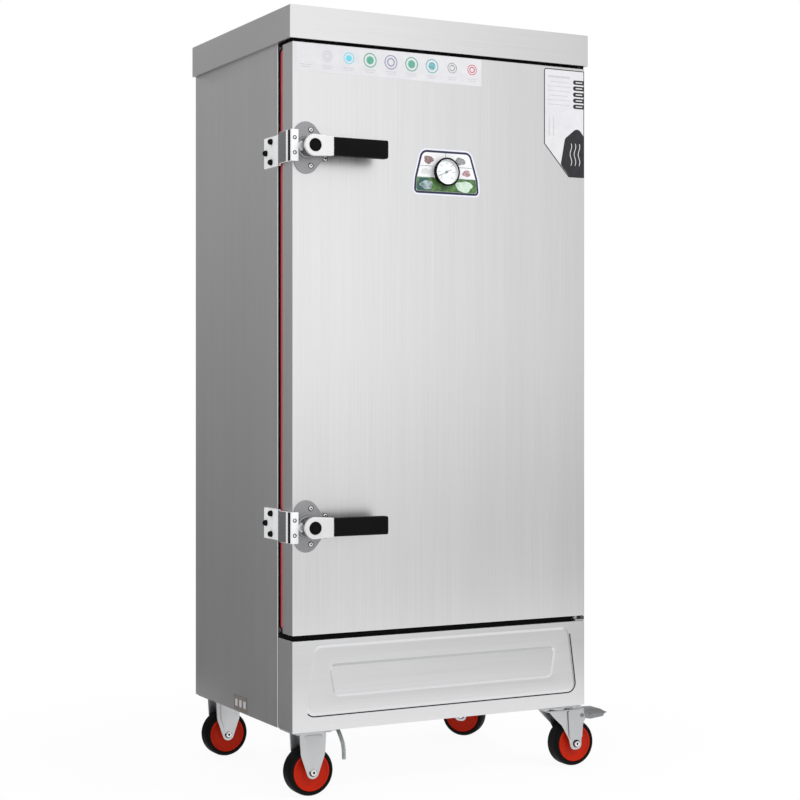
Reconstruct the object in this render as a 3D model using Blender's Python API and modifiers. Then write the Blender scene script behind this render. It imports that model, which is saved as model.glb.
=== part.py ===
"""Food steamer cabinet: an insulated stainless steel cabinet on four casters, with one latched door.

Frame: +X to the cabinet's right as seen from the front, -Y towards the viewer, +Z up, floor at z = 0.
All sizes are in metres. The pieces are first placed about the middle of the cabinet's body, and a
datum empty then carries them so that the origin lies under the middle of the whole object.
"""

import math

import bmesh
import bpy
from mathutils import Euler, Matrix, Vector

# Driving sizes of the cabinet
BODY_WIDTH = 0.700
BODY_DEPTH = 0.454
CASTER_HEIGHT = 0.1355
BASE_PANEL_HEIGHT = 0.1845
DOOR_HEIGHT = 1.194
DOOR_THICKNESS = 0.048
DOOR_UNDER_GAP = 0.011
DOOR_OVER_GAP = 0.006
SEAL_GAP = 0.0265
CAP_HEIGHT = 0.067
CAP_SIDE_OVERHANG = 0.007
CAP_FRONT_OVERHANG = 0.0035
CAP_BACK_OVERHANG = 0.003
WALL = 0.0395
BACK_WALL = 0.042
FRAME_MARGIN = 0.041

# Sheet metal and fits
SHEET = 0.001
FOLD_RADIUS = 0.0015
HEM = 0.006
SEAT_GAP = 0.0003
OVERRUN = 0.004

# Planes that the pieces share
HALF_WIDTH = BODY_WIDTH / 2
BODY_FRONT_Y = -BODY_DEPTH / 2
BODY_BACK_Y = BODY_DEPTH / 2
DOOR_BACK_Y = BODY_FRONT_Y - SEAL_GAP
DOOR_FRONT_Y = DOOR_BACK_Y - DOOR_THICKNESS
BODY_BOTTOM_Z = CASTER_HEIGHT
PANEL_TOP_Z = BODY_BOTTOM_Z + BASE_PANEL_HEIGHT
DOOR_BOTTOM_Z = PANEL_TOP_Z + DOOR_UNDER_GAP
DOOR_TOP_Z = DOOR_BOTTOM_Z + DOOR_HEIGHT
CAP_BOTTOM_Z = DOOR_TOP_Z + DOOR_OVER_GAP
CAP_TOP_Z = CAP_BOTTOM_Z + CAP_HEIGHT
BODY_TOP_Z = CAP_TOP_Z - SHEET - SEAT_GAP
INNER_HALF = HALF_WIDTH - SHEET - SEAT_GAP
BACK_PANEL_Y = BODY_BACK_Y - 2 * SHEET - SEAT_GAP
OPENING_HALF = HALF_WIDTH - WALL
OPENING_BOTTOM_Z = DOOR_BOTTOM_Z + FRAME_MARGIN
OPENING_TOP_Z = DOOR_TOP_Z - FRAME_MARGIN

# Front frame
COLLAR_DEPTH = 0.022
FRAME_DROP = 0.015
FRAME_BACK_Y = BODY_FRONT_Y + SHEET

# Inner liner and its water well
LINER_SETBACK = 0.006
LINER_FRONT_Y = BODY_FRONT_Y + LINER_SETBACK
LINER_BACK_Y = BODY_BACK_Y - BACK_WALL
LINER_HALF = OPENING_HALF - SEAT_GAP
LINER_BOTTOM_Z = OPENING_BOTTOM_Z + SEAT_GAP
LINER_TOP_Z = OPENING_TOP_Z - SEAT_GAP
FLOOR_TOP_Z = LINER_BOTTOM_Z + SHEET
WELL_SIDE_LEDGE = 0.0702
WELL_FRONT_LEDGE = 0.071
WELL_BACK_LEDGE = 0.045
WELL_HALF = LINER_HALF - WELL_SIDE_LEDGE
WELL_FRONT_Y = LINER_FRONT_Y + WELL_FRONT_LEDGE
WELL_BACK_Y = LINER_BACK_Y - WELL_BACK_LEDGE
WELL_DEPTH = 0.133
WELL_BOTTOM_Z = LINER_BOTTOM_Z - WELL_DEPTH
STUB_WALL = 0.0015
PIPE_PROUD = 0.0143
VENT_RADIUS = 0.015
VENT_DROP = 0.065
VENT_Z = LINER_TOP_Z - VENT_DROP
INLET_RADIUS = 0.008
INLET_INSET = 0.060
INLET_DROP = 0.040
INLET_X = WELL_HALF - INLET_INSET
INLET_Z = LINER_BOTTOM_Z - INLET_DROP
DRAIN_RADIUS = 0.0053
DRAIN_SIDE_INSET = 0.035
DRAIN_FRONT_INSET = 0.025
DRAIN_X = -WELL_HALF + DRAIN_SIDE_INSET
DRAIN_Y = WELL_FRONT_Y + DRAIN_FRONT_INSET
DRAIN_LENGTH = 0.020
PIPE_END_Y = BODY_BACK_Y + PIPE_PROUD
PASS_GAP = 0.001

# Racks, trays and baffle
RACK_BACK = 0.0012
LEDGE_REACH = 0.021
LEDGE_PITCH = 0.087
FIRST_LEDGE = 0.047
RACK_TOP_MARGIN = 0.045
RACK_TOP_Z = LINER_TOP_Z - RACK_TOP_MARGIN
LEDGE_COUNT = int((RACK_TOP_Z - FLOOR_TOP_Z - FIRST_LEDGE) / LEDGE_PITCH) + 1
RACK_FRONT_INSET = 0.016
RACK_BACK_INSET = 0.010
RACK_FRONT_Y = LINER_FRONT_Y + RACK_FRONT_INSET
RACK_BACK_Y = LINER_BACK_Y - RACK_BACK_INSET
TRAY_SIDE_GAP = 0.0077
TRAY_FRONT_INSET = 0.001
TRAY_HEIGHT = 0.048
TRAY_PLAY = 0.005
TRAY_LEDGES = (3, 7)
RACK_INNER = LINER_HALF - SHEET - SEAT_GAP
TRAY_HALF = RACK_INNER - RACK_BACK - TRAY_SIDE_GAP
TRAY_FRONT_Y = LINER_FRONT_Y + TRAY_FRONT_INSET
TRAY_BACK_Y = RACK_BACK_Y + TRAY_PLAY
TRAY_MIDDLE_Y = (TRAY_FRONT_Y + TRAY_BACK_Y) / 2

# Door and its pivots
DOOR_EDGE_RADIUS = 0.0015
GASKET_INSET = 0.006
GASKET_WIDTH = 0.032
GASKET_EDGE = 0.008
GASKET_CORNER = 0.014
DOOR_PAN_MARGIN = 0.050
DOOR_PAN_HEIGHT = 0.015
PIVOT_INSET = 0.012
PIVOT_X = HALF_WIDTH - PIVOT_INSET
PIVOT_Y = DOOR_BACK_Y - DOOR_THICKNESS / 2
PIN_RADIUS = 0.005
PIN_LENGTH = 0.022
RUNNING_GAP = 0.0005
BUSH_WALL = 0.003
BUSH_FLANGE = 0.0012
BUSH_RADIUS = PIN_RADIUS + RUNNING_GAP + BUSH_WALL
PIVOT_PLATE = 0.003

# Latches and strikes
LATCH_INSET = 0.0273
UPPER_LATCH_DROP = 0.2127
LOWER_LATCH_RISE = 0.2195
LATCH_X = -HALF_WIDTH + LATCH_INSET
UPPER_LATCH_Z = DOOR_TOP_Z - UPPER_LATCH_DROP
LOWER_LATCH_Z = DOOR_BOTTOM_Z + LOWER_LATCH_RISE
LATCH_PLATE = 0.003
LATCH_BOSS_RADIUS = 0.022
LATCH_BOSS = 0.009
SPINDLE_RADIUS = 0.0067
LEVER_FRONT = 0.050
ARM_THICKNESS = 0.008
HUB_RADIUS = 0.020
STRIKE_HEIGHT = 0.063
STRIKE_SHEET = 0.0025

# Gauge
GAUGE_DROP = 0.2447
GAUGE_Z = DOOR_TOP_Z - GAUGE_DROP
GAUGE_RADIUS = 0.030
GAUGE_PROUD = 0.013
GAUGE_STEM_RADIUS = 0.010
GAUGE_STEM = 0.030

# Casters
WHEEL_RADIUS = 0.050
TREAD = 0.039
CORE_RADIUS = 0.040
AXLE_RADIUS = 0.004
AXLE_Z = WHEEL_RADIUS - CASTER_HEIGHT
HUB_HALF = 0.0222
LEG_SHEET = 0.0025
HUB_PLAY = 0.0008
LEG_INNER = HUB_HALF + HUB_PLAY
LEG_OUTER = LEG_INNER + LEG_SHEET
PLATE_SHEET = 0.0025
TRAIL = 0.043
RIGID_SIDE_INSET = 0.0535
RIGID_FRONT_INSET = 0.0425
RIGID_BACK_INSET = 0.039
FRONT_SWIVEL_SIDE_INSET = 0.056
FRONT_SWIVEL_INSET = 0.0375
REAR_SWIVEL_SIDE_INSET = 0.081
REAR_SWIVEL_INSET = 0.061
FRONT_SWIVEL_HEADING = 0
REAR_SWIVEL_HEADING = math.radians(-48)
PEDAL_PIN_X = 0.056
PEDAL_PIN_Z = -0.0245
PEDAL_REACH = 0.13087

# Base frame
PAN_SHEET = 0.002
PAN_FLANGE = 0.025
PAN_FRONT_Y = DOOR_FRONT_Y + SHEET + 2 * SEAT_GAP

# Drain hose
HOSE_RADIUS = 0.0043
HOSE_HOLE_RADIUS = 0.011
HOSE_HOLE_Y = -0.192
HOSE_ROUTE = (
    (-0.2050, -0.1250, 0.2180),
    (-0.2050, -0.1255, 0.2060),
    (-0.2050, -0.1300, 0.1920),
    (-0.2053, -0.1420, 0.1755),
    (-0.2056, -0.1600, 0.1600),
    (-0.2058, -0.1790, 0.1465),
    (-0.2056, -0.1950, 0.1330),
    (-0.2035, -0.2050, 0.1180),
    (-0.1985, -0.2092, 0.1025),
    (-0.1935, -0.2100, 0.0870),
    (-0.1908, -0.2096, 0.0705),
    (-0.1900, -0.2090, 0.0530),
)

# Facets of round shapes
ROUND_STEPS = 24
SMALL_STEPS = 12
HOLE_STEPS = 8
SMALL_ROUND = 0.010
HEX_STEPS = 6
CORNER_STEPS = 3
EDGE_SEGMENTS = 2
CURVE_STEPS = 20
BEND_STEPS = 6
PIPE_RESOLUTION = 3
ROD_RESOLUTION = 1
SHARP_ANGLE = math.radians(35)
MERGE_DISTANCE = 0.00001

# Colour, roughness and metallic value of each finish
FINISHES = {
    "brushed_steel": ((0.62, 0.62, 0.63), 0.32, 1.0),
    "polished_steel": ((0.78, 0.78, 0.79), 0.14, 1.0),
    "zinc": ((0.66, 0.67, 0.69), 0.28, 1.0),
    "red_silicone": ((0.44, 0.05, 0.04), 0.55, 0.0),
    "red_plastic": ((0.55, 0.03, 0.01), 0.35, 0.0),
    "black_rubber": ((0.02, 0.02, 0.02), 0.7, 0.0),
    "black_plastic": ((0.02, 0.02, 0.02), 0.4, 0.0),
    "white_plastic": ((0.85, 0.85, 0.83), 0.4, 0.0),
    "foam": ((0.80, 0.72, 0.45), 0.9, 0.0),
    "glass": ((0.9, 0.95, 0.95), 0.05, 0.0),
    "hose": ((0.62, 0.68, 0.64), 0.3, 0.0),
}

FACING_TURNS = {
    "up": (0, 0, 0),
    "down": (math.pi, 0, 0),
    "front": (math.pi / 2, 0, 0),
    "back": (-math.pi / 2, 0, 0),
    "left": (0, -math.pi / 2, 0),
}
PRISM_TURNS = {
    "y": (math.pi / 2, 0, 0),
    "z": (0, 0, 0),
}

parts = bpy.data.collections.new("food_steamer_cabinet")
cutters = bpy.data.collections.new("cutters")
riders = []


def clear_scene():
    for thing in list(bpy.data.objects):
        bpy.data.objects.remove(thing, do_unlink=True)
    bpy.context.scene.collection.children.link(parts)
    bpy.context.scene.collection.children.link(cutters)


# Building shapes

def block(name, low, high):
    """A box between two opposite corners."""
    shape = bmesh.new()
    bmesh.ops.create_cube(shape, size=1)
    bmesh.ops.scale(shape, vec=[b - a for a, b in zip(low, high)], verts=shape.verts)
    mesh = bpy.data.meshes.new(name)
    shape.to_mesh(mesh)
    shape.free()
    piece = bpy.data.objects.new(name, mesh)
    piece.location = [(a + b) / 2 for a, b in zip(low, high)]
    parts.objects.link(piece)
    return piece


def as_mesh(piece):
    """The evaluated shape of a piece as one welded mesh object in its place."""
    bpy.context.view_layer.update()
    evaluated = piece.evaluated_get(bpy.context.evaluated_depsgraph_get())
    mesh = bpy.data.meshes.new_from_object(evaluated)
    shape = bmesh.new()
    shape.from_mesh(mesh)
    bmesh.ops.remove_doubles(shape, verts=shape.verts, dist=MERGE_DISTANCE)
    shape.to_mesh(mesh)
    shape.free()
    name = piece.name
    place = piece.matrix_world.copy()
    bpy.data.objects.remove(piece)
    solid = bpy.data.objects.new(name, mesh)
    solid.matrix_world = place
    parts.objects.link(solid)
    return solid


def prism(name, loops, low, high, across, edge=0):
    """A flat outline, the first loop, less its holes, with thickness from low to high across an axis."""
    curve = bpy.data.curves.new(name, "CURVE")
    curve.dimensions = "2D"
    curve.fill_mode = "BOTH"
    curve.extrude = (high - low) / 2 - edge
    curve.bevel_depth = edge
    curve.bevel_resolution = 0
    curve.offset = -edge
    for index, loop in enumerate(loops):
        spline = curve.splines.new("POLY")
        spline.points.add(len(loop) - 1)
        points = [Vector(point) for point in loop]
        if (turning(points) > 0) == (index > 0):
            points.reverse()
        for spline_point, (one, two) in zip(spline.points, points):
            spline_point.co = (one, two, 0, 1)
        spline.use_cyclic_u = True
    piece = bpy.data.objects.new(name, curve)
    piece.rotation_euler = PRISM_TURNS[across]
    piece.location["xyz".index(across)] = (low + high) / 2
    parts.objects.link(piece)
    return as_mesh(piece)


def slab(name, outline, low, high, across):
    """One flat outline with plain edges."""
    return prism(name, [outline], low, high, across)


def turning(points):
    """Twice the area inside a loop of points, positive where they run counter-clockwise."""
    return sum(one.x * two.y - two.x * one.y for one, two in zip(points, points[1:] + points[:1]))


def turned(name, profile, place, facing="up", steps=ROUND_STEPS, closed=False, twist=0):
    """A profile of (radius, height) points, run down its outer side, turned about its axis."""
    mesh = bpy.data.meshes.new(name)
    count = len(profile)
    links = [(index, index + 1) for index in range(count - 1)]
    if closed:
        links.append((count - 1, 0))
    mesh.from_pydata([(radius, 0, height) for radius, height in profile], links, [])
    piece = bpy.data.objects.new(name, mesh)
    turn = Euler(FACING_TURNS[facing]).to_matrix().to_4x4() @ Matrix.Rotation(twist, 4, "Z")
    piece.matrix_basis = Matrix.Translation(place) @ turn
    parts.objects.link(piece)
    screw = piece.modifiers.new("turn", "SCREW")
    screw.steps = steps
    screw.render_steps = steps
    screw.use_merge_vertices = True
    screw.merge_threshold = MERGE_DISTANCE
    screw.use_smooth_shade = True
    return piece


def pin(name, radius, low, high, place, facing="up", steps=SMALL_STEPS, twist=0):
    """A plain round pin between two heights on its axis."""
    profile = [(0, high), (radius, high), (radius, low), (0, low)]
    return turned(name, profile, place, facing, steps, twist=twist)


def bore(name, radius, low, high, place, facing="up", steps=SMALL_STEPS):
    """A round cutter, its corners half a facet away from those of a pin on the same axis."""
    return pin(name, radius, low, high, place, facing, steps, math.pi / steps)


def tube(name, route, radius, resolution):
    """A round bar along a route of points."""
    curve = bpy.data.curves.new(name, "CURVE")
    curve.dimensions = "3D"
    curve.bevel_depth = radius
    curve.bevel_resolution = resolution
    curve.use_fill_caps = True
    spline = curve.splines.new("POLY")
    spline.points.add(len(route) - 1)
    for point, place in zip(spline.points, route):
        point.co = (*place, 1)
    piece = bpy.data.objects.new(name, curve)
    parts.objects.link(piece)
    return piece


def repeated(piece, shifts):
    """One object that holds a copy of the piece's mesh at each shift."""
    solid = as_mesh(piece)
    turn = solid.matrix_world.to_3x3().inverted()
    shape = bmesh.new()
    for shift in shifts:
        start = len(shape.verts)
        shape.from_mesh(solid.data)
        shape.verts.ensure_lookup_table()
        bmesh.ops.translate(shape, vec=turn @ Vector(shift), verts=shape.verts[start:])
    shape.to_mesh(solid.data)
    shape.free()
    return solid


def combine(piece, tool, operation):
    change = piece.modifiers.new(tool.name, "BOOLEAN")
    change.operation = operation
    change.object = tool
    change.solver = "EXACT"
    parts.objects.unlink(tool)
    cutters.objects.link(tool)
    tool.hide_render = True
    tool.display_type = "WIRE"
    riders.append((tool, piece))


def cut(piece, tool):
    combine(piece, tool, "DIFFERENCE")


def fuse(piece, tool):
    combine(piece, tool, "UNION")


def soften(piece, width):
    """Round the edges of a piece."""
    bevel = piece.modifiers.new("edges", "BEVEL")
    bevel.width = width
    bevel.segments = EDGE_SEGMENTS
    bevel.limit_method = "ANGLE"
    bevel.angle_limit = SHARP_ANGLE


# Outlines

def rounded(points, radii, closed=True):
    """The points with each corner replaced by an arc of its radius."""
    corners = [Vector(point) for point in points]
    result = []
    for index, (here, radius) in enumerate(zip(corners, radii)):
        if radius == 0 or (not closed and index in (0, len(corners) - 1)):
            result.append(here)
            continue
        before = (corners[index - 1] - here).normalized()
        after = (corners[(index + 1) % len(corners)] - here).normalized()
        half = before.angle(after) / 2
        middle = here + (before + after).normalized() * radius / math.sin(half)
        reach = radius / math.tan(half)
        first = here + before * reach - middle
        last = here + after * reach - middle
        start = math.atan2(first.y, first.x)
        sweep = (math.atan2(last.y, last.x) - start + math.pi) % (2 * math.pi) - math.pi
        for step in range(CORNER_STEPS + 1):
            turn = start + sweep * step / CORNER_STEPS
            result.append(middle + radius * Vector((math.cos(turn), math.sin(turn))))
    return result


def strip(path, thickness):
    """The outline of a bent sheet that lies to the left of a path."""
    offset = []
    for index, here in enumerate(path):
        normals = []
        for start, end in ((index - 1, index), (index, index + 1)):
            if start >= 0 and end < len(path):
                along = (path[end] - path[start]).normalized()
                normals.append(Vector((-along.y, along.x)))
        mitre = sum(normals, Vector((0, 0)))
        offset.append(here + mitre * thickness / mitre.dot(normals[0]))
    return list(path) + offset[::-1]


def circle(centre, radius, steps):
    turns = [2 * math.pi * step / steps for step in range(steps)]
    return [(centre[0] + radius * math.cos(turn), centre[1] + radius * math.sin(turn)) for turn in turns]


def hull(discs):
    """The taut outline round a set of discs, each given as (x, y, radius)."""
    points = []
    for x, y, radius in discs:
        points += circle((x, y), radius, ROUND_STEPS if radius > SMALL_ROUND else HOLE_STEPS)
    points.sort()

    def half_hull(ordered):
        chain = []
        for point in ordered:
            while len(chain) > 1:
                (ax, ay), (bx, by) = chain[-2:]
                if (bx - ax) * (point[1] - ay) - (by - ay) * (point[0] - ax) > 0:
                    break
                chain.pop()
            chain.append(point)
        return chain[:-1]

    return half_hull(points) + half_hull(points[::-1])


def rectangle(low, high, radius):
    corners = [(low[0], low[1]), (high[0], low[1]), (high[0], high[1]), (low[0], high[1])]
    return rounded(corners, [radius] * len(corners))


def smooth_route(route, spacing):
    """Points a steady spacing apart on a smooth curve through the route's points."""
    points = [Vector(point) for point in route]
    fine = []
    for index in range(len(points) - 1):
        before = points[max(index - 1, 0)]
        start = points[index]
        end = points[index + 1]
        after = points[min(index + 2, len(points) - 1)]
        for step in range(CURVE_STEPS):
            t = step / CURVE_STEPS
            fine.append(
                start
                + (end - before) * (t / 2)
                + (2 * before - 5 * start + 4 * end - after) * (t * t / 2)
                + (3 * (start - end) + after - before) * (t * t * t / 2)
            )
    fine.append(points[-1])
    result = [fine[0]]
    for point in fine:
        if (point - result[-1]).length >= spacing:
            result.append(point)
    result[-1] = fine[-1]
    return result


# Carcass

RETURN_FLANGE = 0.015


def side_panel(name, side):
    """A sheet folded in at the back and hemmed at the front; side is -1 at the left and 1 at the right."""
    path = rounded(
        [
            (HALF_WIDTH - RETURN_FLANGE, BODY_BACK_Y),
            (HALF_WIDTH, BODY_BACK_Y),
            (HALF_WIDTH, BODY_FRONT_Y),
            (HALF_WIDTH - HEM, BODY_FRONT_Y),
        ],
        [FOLD_RADIUS] * 4,
        closed=False,
    )
    outline = [(side * x, y) for x, y in strip(path, -SHEET)]
    return slab(name, outline, BODY_BOTTOM_Z, BODY_TOP_Z, "z")


ACCESS_HALF = 0.110
ACCESS_RISE = 0.050
ACCESS_HEIGHT = 0.110
ACCESS_LOW_Z = BODY_BOTTOM_Z + ACCESS_RISE
ACCESS_HIGH_Z = ACCESS_LOW_Z + ACCESS_HEIGHT


def back_panel():
    low = (-INNER_HALF, BACK_PANEL_Y, BODY_BOTTOM_Z + PAN_SHEET)
    high = (INNER_HALF, BACK_PANEL_Y + SHEET, BODY_TOP_Z)
    panel = block("back_panel", low, high)
    reach = BACK_PANEL_Y - OVERRUN, BACK_PANEL_Y + SHEET + OVERRUN
    vent = VENT_RADIUS + PASS_GAP
    inlet = INLET_RADIUS + PASS_GAP
    cut(panel, bore("back_vent_hole", vent, -reach[1], -reach[0], (0, 0, VENT_Z), "front"))
    cut(panel, bore("back_inlet_hole", inlet, -reach[1], -reach[0], (INLET_X, 0, INLET_Z), "front"))
    window_low = (-ACCESS_HALF, reach[0], ACCESS_LOW_Z)
    window_high = (ACCESS_HALF, reach[1], ACCESS_HIGH_Z)
    cut(panel, block("back_access_window", window_low, window_high))
    return panel


CAP_HEM = 0.005


def top_cap():
    low = Vector((-HALF_WIDTH - CAP_SIDE_OVERHANG, DOOR_FRONT_Y - CAP_FRONT_OVERHANG, CAP_BOTTOM_Z))
    high = Vector((HALF_WIDTH + CAP_SIDE_OVERHANG, BODY_BACK_Y + CAP_BACK_OVERHANG, CAP_TOP_Z))
    wall = Vector((SHEET, SHEET, SHEET))
    cap = block("top_cap", low, high)
    soften(cap, FOLD_RADIUS)
    cut(cap, block("cap_inside", low + wall, high - wall))
    mouth_low = (-HALF_WIDTH - SEAT_GAP, low.y + CAP_HEM, low.z - OVERRUN)
    mouth_high = (HALF_WIDTH + SEAT_GAP, BODY_BACK_Y + SEAT_GAP, low.z + OVERRUN)
    cut(cap, block("cap_mouth", mouth_low, mouth_high))
    return cap


HEADER_Z = CAP_BOTTOM_Z + SHEET + SEAT_GAP


def front_frame():
    half = HALF_WIDTH - HEM - SEAT_GAP
    low = (-half, BODY_FRONT_Y, PANEL_TOP_Z - FRAME_DROP)
    high = (half, FRAME_BACK_Y, BODY_TOP_Z)
    frame = block("front_frame", low, high)
    collar_half = OPENING_HALF + SHEET
    collar_low = (-collar_half, BODY_FRONT_Y + SHEET / 2, OPENING_BOTTOM_Z - SHEET)
    collar_high = (collar_half, FRAME_BACK_Y + COLLAR_DEPTH, OPENING_TOP_Z + SHEET)
    fuse(frame, block("frame_collar", collar_low, collar_high))
    header_front_y = DOOR_FRONT_Y - CAP_FRONT_OVERHANG + SHEET + SEAT_GAP
    header_low = (-INNER_HALF, header_front_y, HEADER_Z)
    header_high = (INNER_HALF, BODY_FRONT_Y - SEAT_GAP, HEADER_Z + SHEET)
    fuse(frame, block("frame_header", header_low, header_high))
    bridge_low = (-half, BODY_FRONT_Y - SHEET, HEADER_Z)
    bridge_high = (half, BODY_FRONT_Y + SHEET / 2, HEADER_Z + SHEET)
    fuse(frame, block("frame_header_fold", bridge_low, bridge_high))
    opening_low = (-OPENING_HALF, BODY_FRONT_Y - OVERRUN, OPENING_BOTTOM_Z)
    opening_high = (OPENING_HALF, FRAME_BACK_Y + COLLAR_DEPTH + OVERRUN, OPENING_TOP_Z)
    cut(frame, block("frame_opening", opening_low, opening_high))
    return frame


ELEMENT_RISE = 0.030
ELEMENT_RADIUS = 0.005
ELEMENT_BEND = 0.030
ELEMENT_LOOPS = 3
ELEMENT_PITCH = 0.085
ELEMENT_SLOT_END = 0.012
ELEMENT_SLOT_GAP = 0.006
ELEMENT_Z = WELL_BOTTOM_Z + ELEMENT_RISE
ELEMENT_SLOT_HALF = (ELEMENT_LOOPS - 1) / 2 * ELEMENT_PITCH + ELEMENT_BEND + ELEMENT_SLOT_END
ELEMENT_SLOT_RISE = ELEMENT_RADIUS + ELEMENT_SLOT_GAP


def liner_sheets():
    """The chamber's sides, top and back, each a flat sheet that stands on the tank's floor."""
    bottom = FLOOR_TOP_Z + SEAT_GAP
    under_top = LINER_TOP_Z - SHEET - SEAT_GAP
    back = LINER_BACK_Y + SHEET
    left = block(
        "liner_left", (-LINER_HALF, LINER_FRONT_Y, bottom), (SHEET - LINER_HALF, back, under_top)
    )
    right = block(
        "liner_right", (LINER_HALF - SHEET, LINER_FRONT_Y, bottom), (LINER_HALF, back, under_top)
    )
    top_low = (-LINER_HALF, LINER_FRONT_Y, LINER_TOP_Z - SHEET)
    top = block("liner_top", top_low, (LINER_HALF, back, LINER_TOP_Z))
    beside = LINER_HALF - SHEET - SEAT_GAP
    rear = block("liner_back", (-beside, LINER_BACK_Y, bottom), (beside, back, under_top))
    reach = -back - OVERRUN, -LINER_BACK_Y + OVERRUN
    cut(rear, bore("liner_vent_hole", VENT_RADIUS + PASS_GAP, *reach, (0, 0, VENT_Z), "front"))
    return [left, right, top, rear]


def water_tank():
    """The chamber's floor with the well sunk in it."""
    low = Vector((-LINER_HALF, LINER_FRONT_Y, LINER_BOTTOM_Z))
    high = Vector((LINER_HALF, LINER_BACK_Y + SHEET, FLOOR_TOP_Z))
    wall = Vector((SHEET, SHEET, SHEET))
    tank = block("water_tank", low, high)
    well_low = Vector((-WELL_HALF, WELL_FRONT_Y, WELL_BOTTOM_Z))
    well_high = Vector((WELL_HALF, WELL_BACK_Y, FLOOR_TOP_Z - SHEET / 2))
    fuse(tank, block("well_outside", well_low - wall, well_high))
    drain_place = (DRAIN_X, DRAIN_Y, 0)
    drain_end = WELL_BOTTOM_Z - SHEET - DRAIN_LENGTH
    fuse(tank, pin("drain_stub", DRAIN_RADIUS, drain_end, WELL_BOTTOM_Z - SHEET / 2, drain_place))
    inside_top = (WELL_HALF - SHEET, WELL_BACK_Y - SHEET, FLOOR_TOP_Z + OVERRUN)
    cut(tank, block("well_inside", well_low, inside_top))
    reach = -WELL_BACK_Y - OVERRUN, -WELL_BACK_Y + OVERRUN
    cut(tank, bore("well_inlet_hole", INLET_RADIUS + PASS_GAP, *reach, (INLET_X, 0, INLET_Z), "front"))
    reach = drain_end - OVERRUN, WELL_BOTTOM_Z + OVERRUN
    cut(tank, bore("drain_bore", DRAIN_RADIUS - STUB_WALL, *reach, drain_place))
    slot_low = (-ELEMENT_SLOT_HALF, WELL_BACK_Y - OVERRUN, ELEMENT_Z - ELEMENT_SLOT_RISE)
    slot_high = (ELEMENT_SLOT_HALF, WELL_BACK_Y + OVERRUN, ELEMENT_Z + ELEMENT_SLOT_RISE)
    cut(tank, block("element_slot", slot_low, slot_high))
    return tank


FOAM_DROP = 0.050
FOAM_TOP_Z = CAP_BOTTOM_Z
STRIKE_POCKET_DEPTH = 0.012
STRIKE_POCKET_HALF = 0.027


def insulation():
    front_y = FRAME_BACK_Y + COLLAR_DEPTH + SEAT_GAP
    low = (-INNER_HALF, front_y, OPENING_BOTTOM_Z - FOAM_DROP)
    high = (INNER_HALF, BACK_PANEL_Y - SEAT_GAP, FOAM_TOP_Z)
    foam = block("insulation", low, high)
    room = LINER_HALF + SEAT_GAP
    hollow_low = (-room, front_y - OVERRUN, LINER_BOTTOM_Z - SEAT_GAP)
    hollow_high = (room, LINER_BACK_Y + SHEET + SEAT_GAP, LINER_TOP_Z + SEAT_GAP)
    cut(foam, block("foam_liner_room", hollow_low, hollow_high))
    around = SHEET + SEAT_GAP
    well_low = (-WELL_HALF - around, WELL_FRONT_Y - around, low[2] - OVERRUN)
    well_high = (WELL_HALF + around, WELL_BACK_Y + around, LINER_BOTTOM_Z + OVERRUN)
    cut(foam, block("foam_well_room", well_low, well_high))
    reach = -high[1] - OVERRUN, -LINER_BACK_Y
    cut(foam, bore("foam_vent_way", VENT_RADIUS + PASS_GAP, *reach, (0, 0, VENT_Z), "front"))
    reach = -high[1] - OVERRUN, -WELL_BACK_Y
    cut(foam, bore("foam_inlet_way", INLET_RADIUS + PASS_GAP, *reach, (INLET_X, 0, INLET_Z), "front"))
    for name, middle in (("upper", UPPER_LATCH_Z), ("lower", LOWER_LATCH_Z)):
        room = PASS_GAP + BOLT_RADIUS
        pocket_low = (-INNER_HALF - OVERRUN, STRIKE_FRONT_BOLT_Y - room, middle)
        pocket_high = (-INNER_HALF + STRIKE_POCKET_DEPTH, STRIKE_BACK_BOLT_Y + room, middle)
        rise = Vector((0, 0, STRIKE_POCKET_HALF))
        pocket = block(name + "_strike_pocket", Vector(pocket_low) - rise, Vector(pocket_high) + rise)
        cut(foam, pocket)
    return foam


def caster_places():
    left = -HALF_WIDTH + RIGID_SIDE_INSET
    return {
        "front_left": (left, DOOR_FRONT_Y + RIGID_FRONT_INSET),
        "rear_left": (left, BODY_BACK_Y - RIGID_BACK_INSET),
        "front_right": (HALF_WIDTH - FRONT_SWIVEL_SIDE_INSET, DOOR_FRONT_Y + FRONT_SWIVEL_INSET),
        "rear_right": (HALF_WIDTH - REAR_SWIVEL_SIDE_INSET, BODY_BACK_Y - REAR_SWIVEL_INSET),
    }


BOLT_X = 0.035
BOLT_Y = 0.026
BOLT_RADIUS = 0.0035
BOLT_PLAY = 0.0006
BOLT_HOLE_RADIUS = BOLT_RADIUS + BOLT_PLAY
CORNER_SIGNS = ((-1, -1), (-1, 1), (1, -1), (1, 1))


def base_frame():
    half = HALF_WIDTH - HEM - SEAT_GAP
    low = Vector((-half, PAN_FRONT_Y, BODY_BOTTOM_Z))
    high = Vector((half, BACK_PANEL_Y - SEAT_GAP, BODY_BOTTOM_Z + PAN_FLANGE))
    pan = block("base_frame", low, high)
    wall = Vector((PAN_SHEET, PAN_SHEET, PAN_SHEET))
    inside_high = high - wall
    inside_high.z = high.z + OVERRUN
    cut(pan, block("pan_inside", low + wall, inside_high))
    places = []
    for x, y in caster_places().values():
        places += [(x + BOLT_X * sx, y + BOLT_Y * sy, 0) for sx, sy in CORNER_SIGNS]
    reach = low.z - OVERRUN, low.z + OVERRUN
    hole = bore("pan_bolt_holes", BOLT_HOLE_RADIUS, *reach, (0, 0, 0), steps=HOLE_STEPS)
    cut(pan, repeated(hole, places))
    hose_place = (DRAIN_X, HOSE_HOLE_Y, 0)
    cut(pan, bore("pan_hose_hole", HOSE_HOLE_RADIUS, *reach, hose_place))
    return pan


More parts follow.
